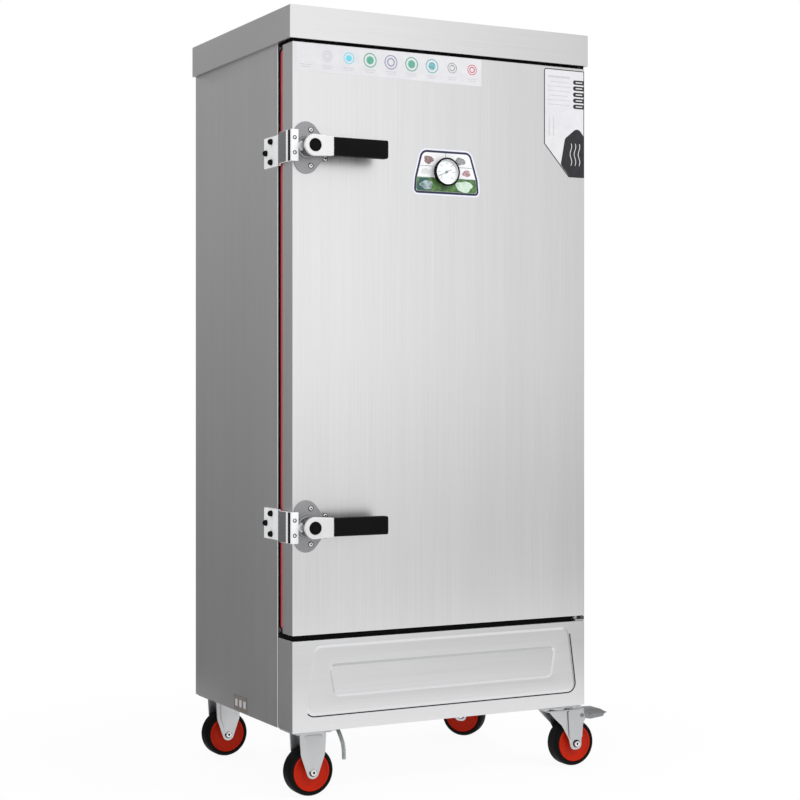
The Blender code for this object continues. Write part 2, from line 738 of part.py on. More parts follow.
EMBOSS_HEIGHT = 0.0035
EMBOSS_EDGE = 0.0016
EMBOSS_TOP_MARGIN = 0.0151
EMBOSS_BOTTOM_MARGIN = 0.0303
EMBOSS_TOP_SIDE = 0.0495
EMBOSS_BOTTOM_SIDE = 0.030
EMBOSS_RADIUS = 0.016
FIELD_TOP_MARGIN = 0.0527
FIELD_BOTTOM_MARGIN = 0.0667
FIELD_TOP_SIDE = 0.082
FIELD_BOTTOM_SIDE = 0.093
FIELD_RADIUS = 0.011


def trapezoid(top_side, bottom_side, top_margin, bottom_margin, radius, inset):
    """A rounded trapezoid on the base panel, drawn in by an inset."""
    top = HALF_WIDTH - top_side - inset
    bottom = HALF_WIDTH - bottom_side - inset
    high = PANEL_TOP_Z - top_margin - inset
    low = BODY_BOTTOM_Z + bottom_margin + inset
    corners = [(-bottom, low), (bottom, low), (top, high), (-top, high)]
    return rounded(corners, [radius - inset] * 4)


def emboss_loops(inset):
    outer = trapezoid(
        EMBOSS_TOP_SIDE, EMBOSS_BOTTOM_SIDE, EMBOSS_TOP_MARGIN, EMBOSS_BOTTOM_MARGIN, EMBOSS_RADIUS, inset
    )
    inner = trapezoid(
        FIELD_TOP_SIDE, FIELD_BOTTOM_SIDE, FIELD_TOP_MARGIN, FIELD_BOTTOM_MARGIN, FIELD_RADIUS, -inset
    )
    return [outer, inner]


def front_base_panel():
    low = Vector((-HALF_WIDTH, DOOR_FRONT_Y, BODY_BOTTOM_Z))
    high = Vector((HALF_WIDTH, BODY_FRONT_Y - SEAT_GAP, PANEL_TOP_Z))
    panel = block("front_base_panel", low, high)
    soften(panel, DOOR_EDGE_RADIUS)
    inside_low = (low.x + SHEET, low.y + SHEET, low.z - OVERRUN)
    inside_high = (high.x - SHEET, high.y + OVERRUN, high.z - SHEET)
    cut(panel, block("base_panel_inside", inside_low, inside_high))
    front = DOOR_FRONT_Y - EMBOSS_HEIGHT
    raised = prism("emboss", emboss_loops(0), front, DOOR_FRONT_Y + SHEET - SEAT_GAP, "y", EMBOSS_EDGE)
    fuse(panel, raised)
    pocket_back = DOOR_FRONT_Y + SHEET + OVERRUN
    pocket = prism("emboss_back", emboss_loops(EMBOSS_EDGE), front + SHEET, pocket_back, "y")
    cut(panel, pocket)
    return panel


# Chamber fittings

def tray_rack(name, side):
    """A wall strip with a column of ledges; side is -1 at the left and 1 at the right."""
    low_z = FLOOR_TOP_Z + SEAT_GAP
    wall = sorted((side * RACK_INNER, side * (RACK_INNER - RACK_BACK)))
    rack = block(name, (wall[0], RACK_FRONT_Y, low_z), (wall[1], RACK_BACK_Y, RACK_TOP_Z))
    reach = sorted((side * (RACK_INNER - RACK_BACK / 2), side * (RACK_INNER - LEDGE_REACH)))
    low = (reach[0], RACK_FRONT_Y + RACK_BACK, -RACK_BACK)
    high = (reach[1], RACK_BACK_Y - RACK_BACK, 0)
    ledge = block(name + "_ledges", low, high)
    fuse(rack, repeated(ledge, [(0, 0, ledge_top(index)) for index in range(LEDGE_COUNT)]))
    return rack


def ledge_top(index):
    return FLOOR_TOP_Z + FIRST_LEDGE + LEDGE_PITCH * index


SLOT_LENGTH = 0.060
SLOT_WIDTH = 0.010


def slot_grid(name, columns, rows, pitch_x, pitch_y, middle_y, low, high):
    """A set of slots in rows and columns, from low to high."""
    half = (SLOT_LENGTH / 2, SLOT_WIDTH / 2)
    first = block(name, (-half[0], -half[1], low), (half[0], half[1], high))
    shifts = []
    for column in range(columns):
        for row in range(rows):
            across = (column - (columns - 1) / 2) * pitch_x
            along = (row - (rows - 1) / 2) * pitch_y
            shifts.append((across, middle_y + along, 0))
    return repeated(first, shifts)


TRAY_COLUMNS = 5
TRAY_ROWS = 4
TRAY_SLOT_PITCH_X = 0.105
TRAY_SLOT_PITCH_Y = 0.080
TRAY_CORNER = 0.012


def tray(name, ledge):
    bottom = ledge_top(ledge) + SEAT_GAP
    outline = rectangle((-TRAY_HALF, TRAY_FRONT_Y), (TRAY_HALF, TRAY_BACK_Y), TRAY_CORNER)
    pan = slab(name, outline, bottom, bottom + TRAY_HEIGHT, "z")
    inner_low = (-TRAY_HALF + SHEET, TRAY_FRONT_Y + SHEET)
    inner_high = (TRAY_HALF - SHEET, TRAY_BACK_Y - SHEET)
    inner = rectangle(inner_low, inner_high, TRAY_CORNER - SHEET)
    cut(pan, slab(name + "_inside", inner, bottom + SHEET, bottom + TRAY_HEIGHT + OVERRUN, "z"))
    slots = slot_grid(
        name + "_slots", TRAY_COLUMNS, TRAY_ROWS, TRAY_SLOT_PITCH_X, TRAY_SLOT_PITCH_Y, TRAY_MIDDLE_Y,
        bottom - OVERRUN, bottom + SHEET + OVERRUN,
    )
    cut(pan, slots)
    return pan


BAFFLE_LAP = 0.025
BAFFLE_FRONT_GAP = 0.035
BAFFLE_SHEET = 0.0015
BAFFLE_COLUMNS = 5
BAFFLE_ROWS = 4
BAFFLE_PITCH_X = 0.085
BAFFLE_PITCH_Y = 0.060


def baffle_plate():
    """A slotted plate over the well that stops short of its front edge, where the well is filled."""
    low = (-WELL_HALF - BAFFLE_LAP, WELL_FRONT_Y + BAFFLE_FRONT_GAP, FLOOR_TOP_Z + SEAT_GAP)
    high = (WELL_HALF + BAFFLE_LAP, WELL_BACK_Y + BAFFLE_LAP, FLOOR_TOP_Z + SEAT_GAP + BAFFLE_SHEET)
    plate = block("baffle_plate", low, high)
    middle = (WELL_FRONT_Y + WELL_BACK_Y) / 2
    slots = slot_grid(
        "baffle_slots", BAFFLE_COLUMNS, BAFFLE_ROWS, BAFFLE_PITCH_X, BAFFLE_PITCH_Y, middle,
        low[2] - OVERRUN, high[2] + OVERRUN,
    )
    cut(plate, slots)
    return plate


ELEMENT_FLANGE = 0.003
ELEMENT_FLANGE_LAP = 0.010
ELEMENT_FRONT_GAP = 0.035
TERMINAL_LENGTH = 0.014


def heating_element():
    """Hairpin tubes on one flange that closes the slot in the well's back wall."""
    flange_y = WELL_BACK_Y + SEAT_GAP
    half = ELEMENT_SLOT_HALF + ELEMENT_FLANGE_LAP
    rise = ELEMENT_SLOT_RISE + ELEMENT_FLANGE_LAP
    outline = rectangle((-half, ELEMENT_Z - rise), (half, ELEMENT_Z + rise), ELEMENT_FLANGE_LAP)
    element = slab("heating_element", outline, flange_y, flange_y + ELEMENT_FLANGE, "y")
    far_y = WELL_FRONT_Y + ELEMENT_FRONT_GAP + ELEMENT_BEND
    near_y = flange_y + ELEMENT_FLANGE + TERMINAL_LENGTH
    route = [(-ELEMENT_BEND, near_y, ELEMENT_Z)]
    for step in range(BEND_STEPS + 1):
        turn = math.pi * step / BEND_STEPS
        route.append((-ELEMENT_BEND * math.cos(turn), far_y - ELEMENT_BEND * math.sin(turn), ELEMENT_Z))
    route.append((ELEMENT_BEND, near_y, ELEMENT_Z))
    shifts = [((index - (ELEMENT_LOOPS - 1) / 2) * ELEMENT_PITCH, 0, 0) for index in range(ELEMENT_LOOPS)]
    fuse(element, repeated(tube("hairpins", route, ELEMENT_RADIUS, ROD_RESOLUTION), shifts))
    return element


# Rear fittings

COVER_SIDE_LAP = 0.025
COVER_HALF = ACCESS_HALF + COVER_SIDE_LAP
COVER_LAP = 0.020
COVER_DEPTH = 0.026
COVER_FLANGE = 0.012
GLAND_INSET = 0.025
GLAND_RISE = 0.030
GLAND_X = ACCESS_HALF - GLAND_INSET
GLAND_Z = ACCESS_LOW_Z + GLAND_RISE
GLAND_RADIUS = 0.008
GLAND_BORE = 0.004
LOUVRE_COUNT = 4
LOUVRE_PITCH = 0.018
LOUVRE_LENGTH = 0.110
LOUVRE_HEIGHT = 0.002
LOUVRE_SHIFT = 0.034


def rear_cover():
    face_y = BACK_PANEL_Y + SHEET + SEAT_GAP
    low = Vector((-COVER_HALF, face_y, ACCESS_LOW_Z - COVER_LAP))
    high = Vector((COVER_HALF, face_y + COVER_DEPTH, ACCESS_HIGH_Z + COVER_LAP))
    cover = block("rear_cover", low, high)
    soften(cover, FOLD_RADIUS)
    inside_low = (low.x + SHEET, low.y - OVERRUN, low.z + SHEET)
    cut(cover, block("cover_inside", inside_low, high - Vector((SHEET,) * 3)))
    lip = Vector((COVER_FLANGE, 0, COVER_FLANGE))
    lip_front = Vector((0, SHEET - COVER_DEPTH, 0))
    flange = block("cover_flange", low - lip, high + lip + lip_front)
    hole_low = low + Vector((SHEET / 2, -OVERRUN, SHEET / 2))
    hole_high = high + lip_front + Vector((-SHEET / 2, OVERRUN, -SHEET / 2))
    cut(flange, block("cover_flange_inside", hole_low, hole_high))
    fuse(cover, flange)
    louvre_low = (-LOUVRE_LENGTH / 2, high.y - OVERRUN, 0)
    louvre_high = (LOUVRE_LENGTH / 2, high.y + OVERRUN, LOUVRE_HEIGHT)
    first = block("cover_louvres", louvre_low, louvre_high)
    lowest = (low.z + high.z - LOUVRE_COUNT * LOUVRE_PITCH) / 2
    shifts = [(-LOUVRE_SHIFT, 0, lowest + index * LOUVRE_PITCH) for index in range(LOUVRE_COUNT)]
    cut(cover, repeated(first, shifts))
    hole = GLAND_RADIUS + PASS_GAP
    gland_place = (GLAND_X, 0, GLAND_Z)
    cut(cover, bore("cover_gland_hole", hole, -high.y - OVERRUN, -high.y + OVERRUN, gland_place, "front"))
    return cover


GLAND_NUT = 0.012
GLAND_NECK = 0.006


def cable_gland():
    """A nylon gland: a collar outside the cover, a dome that grips a lead, and a nut inside."""
    face = BACK_PANEL_Y + SHEET + SEAT_GAP + COVER_DEPTH
    inside = face - SHEET
    profile = [
        (GLAND_BORE, face + GLAND_NUT + GLAND_NECK),
        (GLAND_RADIUS, face + GLAND_NUT + GLAND_NECK),
        (GLAND_NUT, face + GLAND_NUT),
        (GLAND_NUT, face + SEAT_GAP),
        (GLAND_RADIUS, face + SEAT_GAP),
        (GLAND_RADIUS, inside - SEAT_GAP),
        (GLAND_NUT, inside - SEAT_GAP),
        (GLAND_NUT, inside - GLAND_NECK),
        (GLAND_BORE, inside - GLAND_NECK),
    ]
    return turned("cable_gland", profile, (GLAND_X, 0, GLAND_Z), "back", SMALL_STEPS, closed=True)


FITTING_WALL = 0.003
FITTING_LENGTH = 0.024
TAIL_LENGTH = 0.020
TAIL_RADIUS = 0.0075
INLET_NUT = 0.003
INLET_NUT_RADIUS = 0.013


def water_inlet():
    """A fitting through the well's back wall, with a nut inside, a union behind the cabinet and a hose tail."""
    inside = WELL_BACK_Y - SHEET - SEAT_GAP
    start = BODY_BACK_Y + PASS_GAP
    shoulder = start + FITTING_LENGTH
    way = INLET_RADIUS - STUB_WALL - PASS_GAP
    profile = [
        (way, shoulder + TAIL_LENGTH),
        (TAIL_RADIUS, shoulder + TAIL_LENGTH),
        (TAIL_RADIUS, shoulder),
        (INLET_RADIUS + FITTING_WALL, shoulder),
        (INLET_RADIUS + FITTING_WALL, start),
        (INLET_RADIUS, start),
        (INLET_RADIUS, inside),
        (INLET_NUT_RADIUS, inside),
        (INLET_NUT_RADIUS, inside - INLET_NUT),
        (way, inside - INLET_NUT),
    ]
    return turned("water_inlet", profile, (INLET_X, 0, INLET_Z), "back", SMALL_STEPS, closed=True)


VENT_PIPE_WALL = 0.0015
VENT_FLANGE = 0.002
VENT_FLANGE_RADIUS = 0.023
VENT_BEND = 0.030
VENT_TAIL = 0.040


def vent_pipe():
    """A pipe flanged to the chamber's back wall that runs out behind the cabinet and turns down."""
    flange_back = LINER_BACK_Y - SEAT_GAP
    start = flange_back - VENT_FLANGE - SHEET
    route = [(0, start, VENT_Z), (0, PIPE_END_Y, VENT_Z)]
    for step in range(1, BEND_STEPS + 1):
        turn = math.pi / 2 * step / BEND_STEPS
        route.append((0, PIPE_END_Y + VENT_BEND * math.sin(turn), VENT_Z - VENT_BEND * (1 - math.cos(turn))))
    end = (0, PIPE_END_Y + VENT_BEND, VENT_Z - VENT_BEND - VENT_TAIL)
    pipe = as_mesh(tube("vent_pipe", route + [end], VENT_RADIUS, PIPE_RESOLUTION))
    reach = -flange_back, VENT_FLANGE - flange_back
    fuse(pipe, pin("vent_flange", VENT_FLANGE_RADIUS, *reach, (0, 0, VENT_Z), "front", ROUND_STEPS))
    way = [(0, start - OVERRUN, VENT_Z)] + route[1:] + [(0, end[1], end[2] - OVERRUN)]
    cut(pipe, as_mesh(tube("vent_pipe_bore", way, VENT_RADIUS - VENT_PIPE_WALL, PIPE_RESOLUTION)))
    return pipe


def drain_hose():
    return tube("drain_hose", smooth_route(HOSE_ROUTE, 2 * HOSE_RADIUS), HOSE_RADIUS, PIPE_RESOLUTION)


# Door pivots

UPPER_PLATE_FRONT = 0.0045
PIVOT_PLATE_DEPTH = 0.040
PIVOT_PLATE_HALF = 0.012


def pivot_plate(name, low_z, front_y):
    right = HALF_WIDTH - SHEET
    low = (PIVOT_X - PIVOT_PLATE_HALF, front_y, low_z)
    return block(name, low, (right, front_y + PIVOT_PLATE_DEPTH, low_z + PIVOT_PLATE))


def upper_pivot():
    """A plate under the header with a pin down into the door."""
    low_z = HEADER_Z - SEAT_GAP - PIVOT_PLATE
    bracket = pivot_plate("upper_pivot", low_z, DOOR_FRONT_Y + UPPER_PLATE_FRONT)
    place = (PIVOT_X, PIVOT_Y, 0)
    root = low_z + PIVOT_PLATE / 2
    fuse(bracket, pin("upper_pivot_pin", PIN_RADIUS, DOOR_TOP_Z - PIN_LENGTH, root, place))
    return bracket


def lower_pivot():
    """A plate on the base panel with a collar that carries the door and a pin up into it."""
    low_z = PANEL_TOP_Z + SEAT_GAP
    bracket = pivot_plate("lower_pivot", low_z, DOOR_FRONT_Y + SHEET)
    place = (PIVOT_X, PIVOT_Y, 0)
    collar_top = DOOR_BOTTOM_Z - SEAT_GAP - BUSH_FLANGE - SEAT_GAP
    fuse(bracket, pin("lower_pivot_collar", BUSH_RADIUS, low_z + PIVOT_PLATE / 2, collar_top, place))
    root = low_z + PIVOT_PLATE
    fuse(bracket, pin("lower_pivot_pin", PIN_RADIUS, root, DOOR_BOTTOM_Z + PIN_LENGTH, place))
    return bracket


def pivot_bush(name, flange_z, way):
    """A flanged nylon bush in the door, its flange outside; way is 1 where the bush reaches up."""
    hollow = PIN_RADIUS + RUNNING_GAP
    profile = [
        (hollow, PIN_LENGTH + BUSH_FLANGE),
        (BUSH_RADIUS, PIN_LENGTH + BUSH_FLANGE),
        (BUSH_RADIUS, 0),
        (BUSH_RADIUS + BUSH_WALL / 2, 0),
        (BUSH_RADIUS + BUSH_WALL / 2, -BUSH_FLANGE),
        (hollow, -BUSH_FLANGE),
    ]
    facing = "up" if way > 0 else "down"
    return turned(name, profile, (PIVOT_X, PIVOT_Y, flange_z), facing, SMALL_STEPS, closed=True)


# Door

def door_skin():
    low = Vector((-HALF_WIDTH, DOOR_FRONT_Y, DOOR_BOTTOM_Z))
    high = Vector((HALF_WIDTH, DOOR_BACK_Y, DOOR_TOP_Z))
    skin = block("door_skin", low, high)
    soften(skin, DOOR_EDGE_RADIUS)
    inside_high = (high.x - SHEET, high.y + OVERRUN, high.z - SHEET)
    cut(skin, block("door_inside", low + Vector((SHEET,) * 3), inside_high))
    hole = BUSH_RADIUS + PASS_GAP
    place = (PIVOT_X, PIVOT_Y, 0)
    cut(skin, bore("skin_upper_hole", hole, DOOR_TOP_Z - OVERRUN, DOOR_TOP_Z + OVERRUN, place))
    cut(skin, bore("skin_lower_hole", hole, DOOR_BOTTOM_Z - OVERRUN, DOOR_BOTTOM_Z + OVERRUN, place))
    gauge_hole = GAUGE_STEM_RADIUS + PASS_GAP
    reach = -DOOR_FRONT_Y - OVERRUN, -DOOR_FRONT_Y + OVERRUN
    cut(skin, bore("skin_gauge_hole", gauge_hole, *reach, (0, 0, GAUGE_Z), "front"))
    return skin


def door_liner():
    edge = SHEET + SEAT_GAP
    low = Vector((-HALF_WIDTH + edge, DOOR_BACK_Y - SHEET, DOOR_BOTTOM_Z + edge))
    high = Vector((HALF_WIDTH - edge, DOOR_BACK_Y, DOOR_TOP_Z - edge))
    liner = block("door_liner", low, high)
    margin = DOOR_PAN_MARGIN
    pan_low = Vector((-HALF_WIDTH + margin, DOOR_BACK_Y - SHEET / 2, DOOR_BOTTOM_Z + margin))
    pan_high = Vector((HALF_WIDTH - margin, DOOR_BACK_Y + DOOR_PAN_HEIGHT, DOOR_TOP_Z - margin))
    pan = block("door_pan", pan_low, pan_high)
    fuse(liner, pan)
    room_low = pan_low + Vector((SHEET, -OVERRUN, SHEET))
    cut(liner, block("door_pan_inside", room_low, pan_high - Vector((SHEET,) * 3)))
    return liner


FOAM_BITE = 0.002


def door_foam():
    edge = SHEET + 2 * SEAT_GAP
    low = (-HALF_WIDTH + edge, DOOR_FRONT_Y + edge, DOOR_BOTTOM_Z + edge)
    high = (HALF_WIDTH - edge, DOOR_BACK_Y - edge, DOOR_TOP_Z - edge)
    foam = block("door_foam", low, high)
    place = (PIVOT_X, PIVOT_Y, 0)
    hole = BUSH_RADIUS + PASS_GAP
    depth = PIN_LENGTH + BUSH_FLANGE + FOAM_BITE
    cut(foam, bore("foam_upper_bush", hole, DOOR_TOP_Z - depth, DOOR_TOP_Z + OVERRUN, place))
    cut(foam, bore("foam_lower_bush", hole, DOOR_BOTTOM_Z - OVERRUN, DOOR_BOTTOM_Z + depth, place))
    stem = GAUGE_STEM_RADIUS + PASS_GAP
    reach = -DOOR_FRONT_Y - GAUGE_STEM - FOAM_BITE, -DOOR_FRONT_Y + OVERRUN
    cut(foam, bore("foam_gauge_stem", stem, *reach, (0, 0, GAUGE_Z), "front"))
    return foam


def door_gasket():
    outer = GASKET_INSET
    inner = GASKET_INSET + GASKET_WIDTH
    loops = []
    for edge in (outer, inner):
        low = (-HALF_WIDTH + edge, DOOR_BOTTOM_Z + edge)
        high = (HALF_WIDTH - edge, DOOR_TOP_Z - edge)
        loops.append(rectangle(low, high, GASKET_CORNER))
    return prism("door_gasket", loops, DOOR_BACK_Y + SEAT_GAP, BODY_FRONT_Y - SEAT_GAP, "y", GASKET_EDGE)


# Latches

LATCH_PLATE_WIDTH = 0.077
LATCH_PLATE_HEIGHT = 0.105
LATCH_PLATE_INSET = 0.002
LATCH_LOBE = 0.027
LATCH_TIP = 0.019
SCREW_RADIUS = 0.0045
SCREW_HEIGHT = 0.0016
LOBE_SCREW_INSET = 0.037
LOBE_SCREW_RISE = 0.036
TIP_SCREW_INSET = 0.069
TIP_SCREW_RISE = 0.020


def latch_base(name, middle_z):
    """A rounded triangular plate with a round boss that carries the lever's spindle."""
    left = -HALF_WIDTH + LATCH_PLATE_INSET
    lobe_z = LATCH_PLATE_HEIGHT / 2 - LATCH_LOBE
    discs = [
        (left + LATCH_LOBE, middle_z + lobe_z, LATCH_LOBE),
        (left + LATCH_LOBE, middle_z - lobe_z, LATCH_LOBE),
        (left + LATCH_PLATE_WIDTH - LATCH_TIP, middle_z, LATCH_TIP),
    ]
    front = DOOR_FRONT_Y - SEAT_GAP - LATCH_PLATE
    base = prism(name, [hull(discs)], front, DOOR_FRONT_Y - SEAT_GAP, "y", LATCH_PLATE / 4)
    place = (LATCH_X, 0, middle_z)
    boss_front = -DOOR_FRONT_Y + SEAT_GAP + LATCH_PLATE + LATCH_BOSS
    boss_back = -DOOR_FRONT_Y + SEAT_GAP + LATCH_PLATE / 2
    fuse(base, pin(name + "_boss", LATCH_BOSS_RADIUS, boss_back, boss_front, place, "front", ROUND_STEPS))
    reach = -DOOR_FRONT_Y - OVERRUN, boss_front + OVERRUN
    cut(base, bore(name + "_bore", SPINDLE_RADIUS + RUNNING_GAP, *reach, place, "front"))
    screw = turned(
        name + "_screws",
        [(0, SCREW_HEIGHT), (SCREW_RADIUS / 2, SCREW_HEIGHT), (SCREW_RADIUS, SCREW_HEIGHT / 4),
         (SCREW_RADIUS, -LATCH_PLATE / 2), (0, -LATCH_PLATE / 2)],
        (0, 0, 0), "front", HOLE_STEPS,
    )
    shifts = []
    for along, across in ((LOBE_SCREW_INSET, LOBE_SCREW_RISE), (TIP_SCREW_INSET, TIP_SCREW_RISE)):
        shifts += [(left + along, front, middle_z + across * side) for side in (-1, 1)]
    fuse(base, repeated(screw, shifts))
    return base


ARM_REACH = 0.0415
ARM_DEEP = 0.022
ARM_END = 0.0195
ARM_CORNER = 0.002
NOSE_REACH = 0.0272
NOSE_TIP = 0.006
NOSE_BACK = 0.014
NOSE_FRONT = 0.027
TONGUE_REACH = 0.150
TONGUE_HALF = 0.011
TONGUE_THICKNESS = 0.005
HUB_CAP_RADIUS = 0.011
HUB_CAP_HEIGHT = 0.0025
GRIP_START = ARM_REACH + SEAT_GAP
GRIP_LENGTH = 0.122
GRIP_HALF = 0.0185
GRIP_THICKNESS = 0.020
GRIP_PROUD = 0.001
GRIP_EDGE = 0.003


def proud(distance):
    """The height of a plane above the door's face, on an axis that faces the front."""
    return distance - DOOR_FRONT_Y


def lever(name, middle_z):
    """The lever: an arm with a hub and spindle, a cam nose behind it, and a tongue for the grip."""
    place = (LATCH_X, 0, middle_z)
    end_x = LATCH_X + ARM_REACH - ARM_CORNER
    end_z = ARM_END - ARM_CORNER
    discs = [(LATCH_X, middle_z, ARM_DEEP)]
    discs += [(end_x, middle_z + end_z * side, ARM_CORNER) for side in (-1, 1)]
    front_y = DOOR_FRONT_Y - LEVER_FRONT
    arm = prism(name, [hull(discs)], front_y, front_y + ARM_THICKNESS, "y", ARM_CORNER / 2)
    hub_back = LATCH_PLATE + LATCH_BOSS + 2 * SEAT_GAP
    spindle_end = 2 * SEAT_GAP
    arm_back = LEVER_FRONT - ARM_THICKNESS / 2
    hub = [
        (0, proud(arm_back)), (HUB_RADIUS, proud(arm_back)), (HUB_RADIUS, proud(hub_back)),
        (SPINDLE_RADIUS, proud(hub_back)), (SPINDLE_RADIUS, proud(spindle_end)), (0, proud(spindle_end)),
    ]
    fuse(arm, turned(name + "_hub", hub, place, "front"))
    tip_x = LATCH_X - NOSE_REACH + NOSE_TIP
    nose = hull([(LATCH_X, middle_z, HUB_RADIUS - ARM_CORNER), (tip_x, middle_z, NOSE_TIP)])
    fuse(arm, slab(name + "_nose", nose, DOOR_FRONT_Y - NOSE_FRONT, DOOR_FRONT_Y - NOSE_BACK, "y"))
    tongue_y = front_y + ARM_THICKNESS / 2
    low = (end_x, tongue_y - TONGUE_THICKNESS / 2, middle_z - TONGUE_HALF)
    high = (LATCH_X + TONGUE_REACH, tongue_y + TONGUE_THICKNESS / 2, middle_z + TONGUE_HALF)
    fuse(arm, block(name + "_tongue", low, high))
    cap = [
        (0, HUB_CAP_HEIGHT), (HUB_CAP_RADIUS / 2, HUB_CAP_HEIGHT), (HUB_CAP_RADIUS, HUB_CAP_HEIGHT / 2),
        (HUB_CAP_RADIUS, -ARM_THICKNESS / 2), (0, -ARM_THICKNESS / 2),
    ]
    fuse(arm, turned(name + "_cap", cap, (LATCH_X, front_y, middle_z), "front", SMALL_STEPS))
    return arm


def grip(name, middle_z):
    """The grip, moulded over the lever's tongue."""
    front_y = DOOR_FRONT_Y - LEVER_FRONT - GRIP_PROUD
    start = LATCH_X + GRIP_START
    low = (start, front_y, middle_z - GRIP_HALF)
    high = (start + GRIP_LENGTH, front_y + GRIP_THICKNESS, middle_z + GRIP_HALF)
    handle = block(name, low, high)
    soften(handle, GRIP_EDGE)
    tongue_y = DOOR_FRONT_Y - LEVER_FRONT + ARM_THICKNESS / 2
    room = TONGUE_THICKNESS / 2 + SEAT_GAP
    slot_low = (start - OVERRUN, tongue_y - room, middle_z - TONGUE_HALF - SEAT_GAP)
    slot_high = (LATCH_X + TONGUE_REACH + SEAT_GAP, tongue_y + room, middle_z + TONGUE_HALF + SEAT_GAP)
    cut(handle, block(name + "_slot", slot_low, slot_high))
    return handle


STRIKE_REACH = 0.061
STRIKE_BACK_BOLT = 0.0491
STRIKE_FRONT_BOLT = 0.0232
STRIKE_FLARE_START = 0.018
STRIKE_FLARE_RUN = 0.028
STRIKE_BACK_Y = BODY_FRONT_Y + STRIKE_REACH
STRIKE_BACK_BOLT_Y = BODY_FRONT_Y + STRIKE_BACK_BOLT
STRIKE_FRONT_BOLT_Y = BODY_FRONT_Y + STRIKE_FRONT_BOLT
STRIKE_FLARE_Y = BODY_FRONT_Y - STRIKE_FLARE_START
STRIKE_LEG_Y = STRIKE_FLARE_Y - STRIKE_FLARE_RUN
STRIKE_FLARE = 0.0135
STRIKE_PROUD = 0.029
STRIKE_LAP = 0.016
STRIKE_BEND = 0.004
STRIKE_BOLT_RISE = 0.021
STRIKE_BOLT_HEAD = 0.0058
STRIKE_BOLT_HEIGHT = 0.0045


def strike(name, middle_z):
    """A strap bolted to the side panel that reaches past the door's edge and turns in front of it."""
    wall_x = -HALF_WIDTH - SEAT_GAP
    leg_x = wall_x - STRIKE_FLARE
    front_y = DOOR_FRONT_Y - STRIKE_PROUD + STRIKE_SHEET
    path = rounded(
        [
            (wall_x, STRIKE_BACK_Y),
            (wall_x, STRIKE_FLARE_Y),
            (leg_x, STRIKE_LEG_Y),
            (leg_x, front_y),
            (leg_x + STRIKE_LAP - STRIKE_SHEET, front_y),
        ],
        [0, STRIKE_BEND, STRIKE_BEND, STRIKE_BEND / 2, 0],
        closed=False,
    )
    low = middle_z - STRIKE_HEIGHT / 2
    strap = slab(name, strip(path, -STRIKE_SHEET), low, low + STRIKE_HEIGHT, "z")
    end = -STRIKE_SHEET - STRIKE_POCKET_DEPTH / 2
    profile = [
        (0, STRIKE_BOLT_HEIGHT), (STRIKE_BOLT_HEAD / 2, STRIKE_BOLT_HEIGHT),
        (STRIKE_BOLT_HEAD, STRIKE_BOLT_HEIGHT / 3), (STRIKE_BOLT_HEAD, -STRIKE_SHEET / 2),
        (BOLT_RADIUS, -STRIKE_SHEET / 2), (BOLT_RADIUS, end), (0, end),
    ]
    bolt = turned(name + "_bolts", profile, (0, 0, 0), "left", HOLE_STEPS)
    outer = wall_x - STRIKE_SHEET
    fuse(strap, repeated(bolt, [(outer, y, middle_z + z) for y, z in strike_bolt_places()]))
    return strap


def strike_bolt_places():
    return [
        (STRIKE_FRONT_BOLT_Y, STRIKE_BOLT_RISE),
        (STRIKE_FRONT_BOLT_Y, -STRIKE_BOLT_RISE),
        (STRIKE_BACK_BOLT_Y, 0),
    ]


def drill_side_panel(panel):
    """Holes in the side panel for the bolts of both strikes."""
    reach = HALF_WIDTH - OVERRUN, HALF_WIDTH + OVERRUN
    hole = bore("side_bolt_holes", BOLT_HOLE_RADIUS, *reach, (0, 0, 0), "left", HOLE_STEPS)
    shifts = []
    for middle in (UPPER_LATCH_Z, LOWER_LATCH_Z):
        shifts += [(0, y, middle + z) for y, z in strike_bolt_places()]
    cut(panel, repeated(hole, shifts))


# Gauge

BEZEL_LIP = 0.0035
BEZEL_WALL = 0.002
DIAL_DEPTH = 0.007
DIAL_SHEET = 0.0007
GLASS_SHEET = 0.0015
GLASS_DROP = 0.0015
NEEDLE_LENGTH = 0.021
NEEDLE_TAIL = 0.012
NEEDLE_HALF = 0.0006
NEEDLE_HUB = 0.003
NEEDLE_SHEET = 0.0008
NEEDLE_REST = math.radians(-115)


def gauge_case():
    """A round case with a stem through the door's skin; its floor is the dial."""
    inner = GAUGE_RADIUS - BEZEL_WALL
    glass_seat = GAUGE_PROUD - GLASS_DROP - GLASS_SHEET - 2 * SEAT_GAP
    profile = [
        (0, GAUGE_PROUD - DIAL_DEPTH),
        (inner - BEZEL_WALL, GAUGE_PROUD - DIAL_DEPTH),
        (inner - BEZEL_WALL, glass_seat),
        (inner, glass_seat),
        (inner, GAUGE_PROUD),
        (GAUGE_RADIUS - BEZEL_WALL / 2, GAUGE_PROUD),
        (GAUGE_RADIUS, GAUGE_PROUD - BEZEL_LIP),
        (GAUGE_RADIUS, SEAT_GAP),
        (GAUGE_STEM_RADIUS, SEAT_GAP),
        (GAUGE_STEM_RADIUS, -GAUGE_STEM),
        (0, -GAUGE_STEM),
    ]
    return turned("gauge_case", profile, (0, DOOR_FRONT_Y, GAUGE_Z), "front")


def gauge_glass():
    radius = GAUGE_RADIUS - BEZEL_WALL - SEAT_GAP
    front = GAUGE_PROUD - GLASS_DROP - SEAT_GAP
    place = (0, DOOR_FRONT_Y, GAUGE_Z)
    return pin("gauge_glass", radius, front - GLASS_SHEET, front, place, "front", ROUND_STEPS)


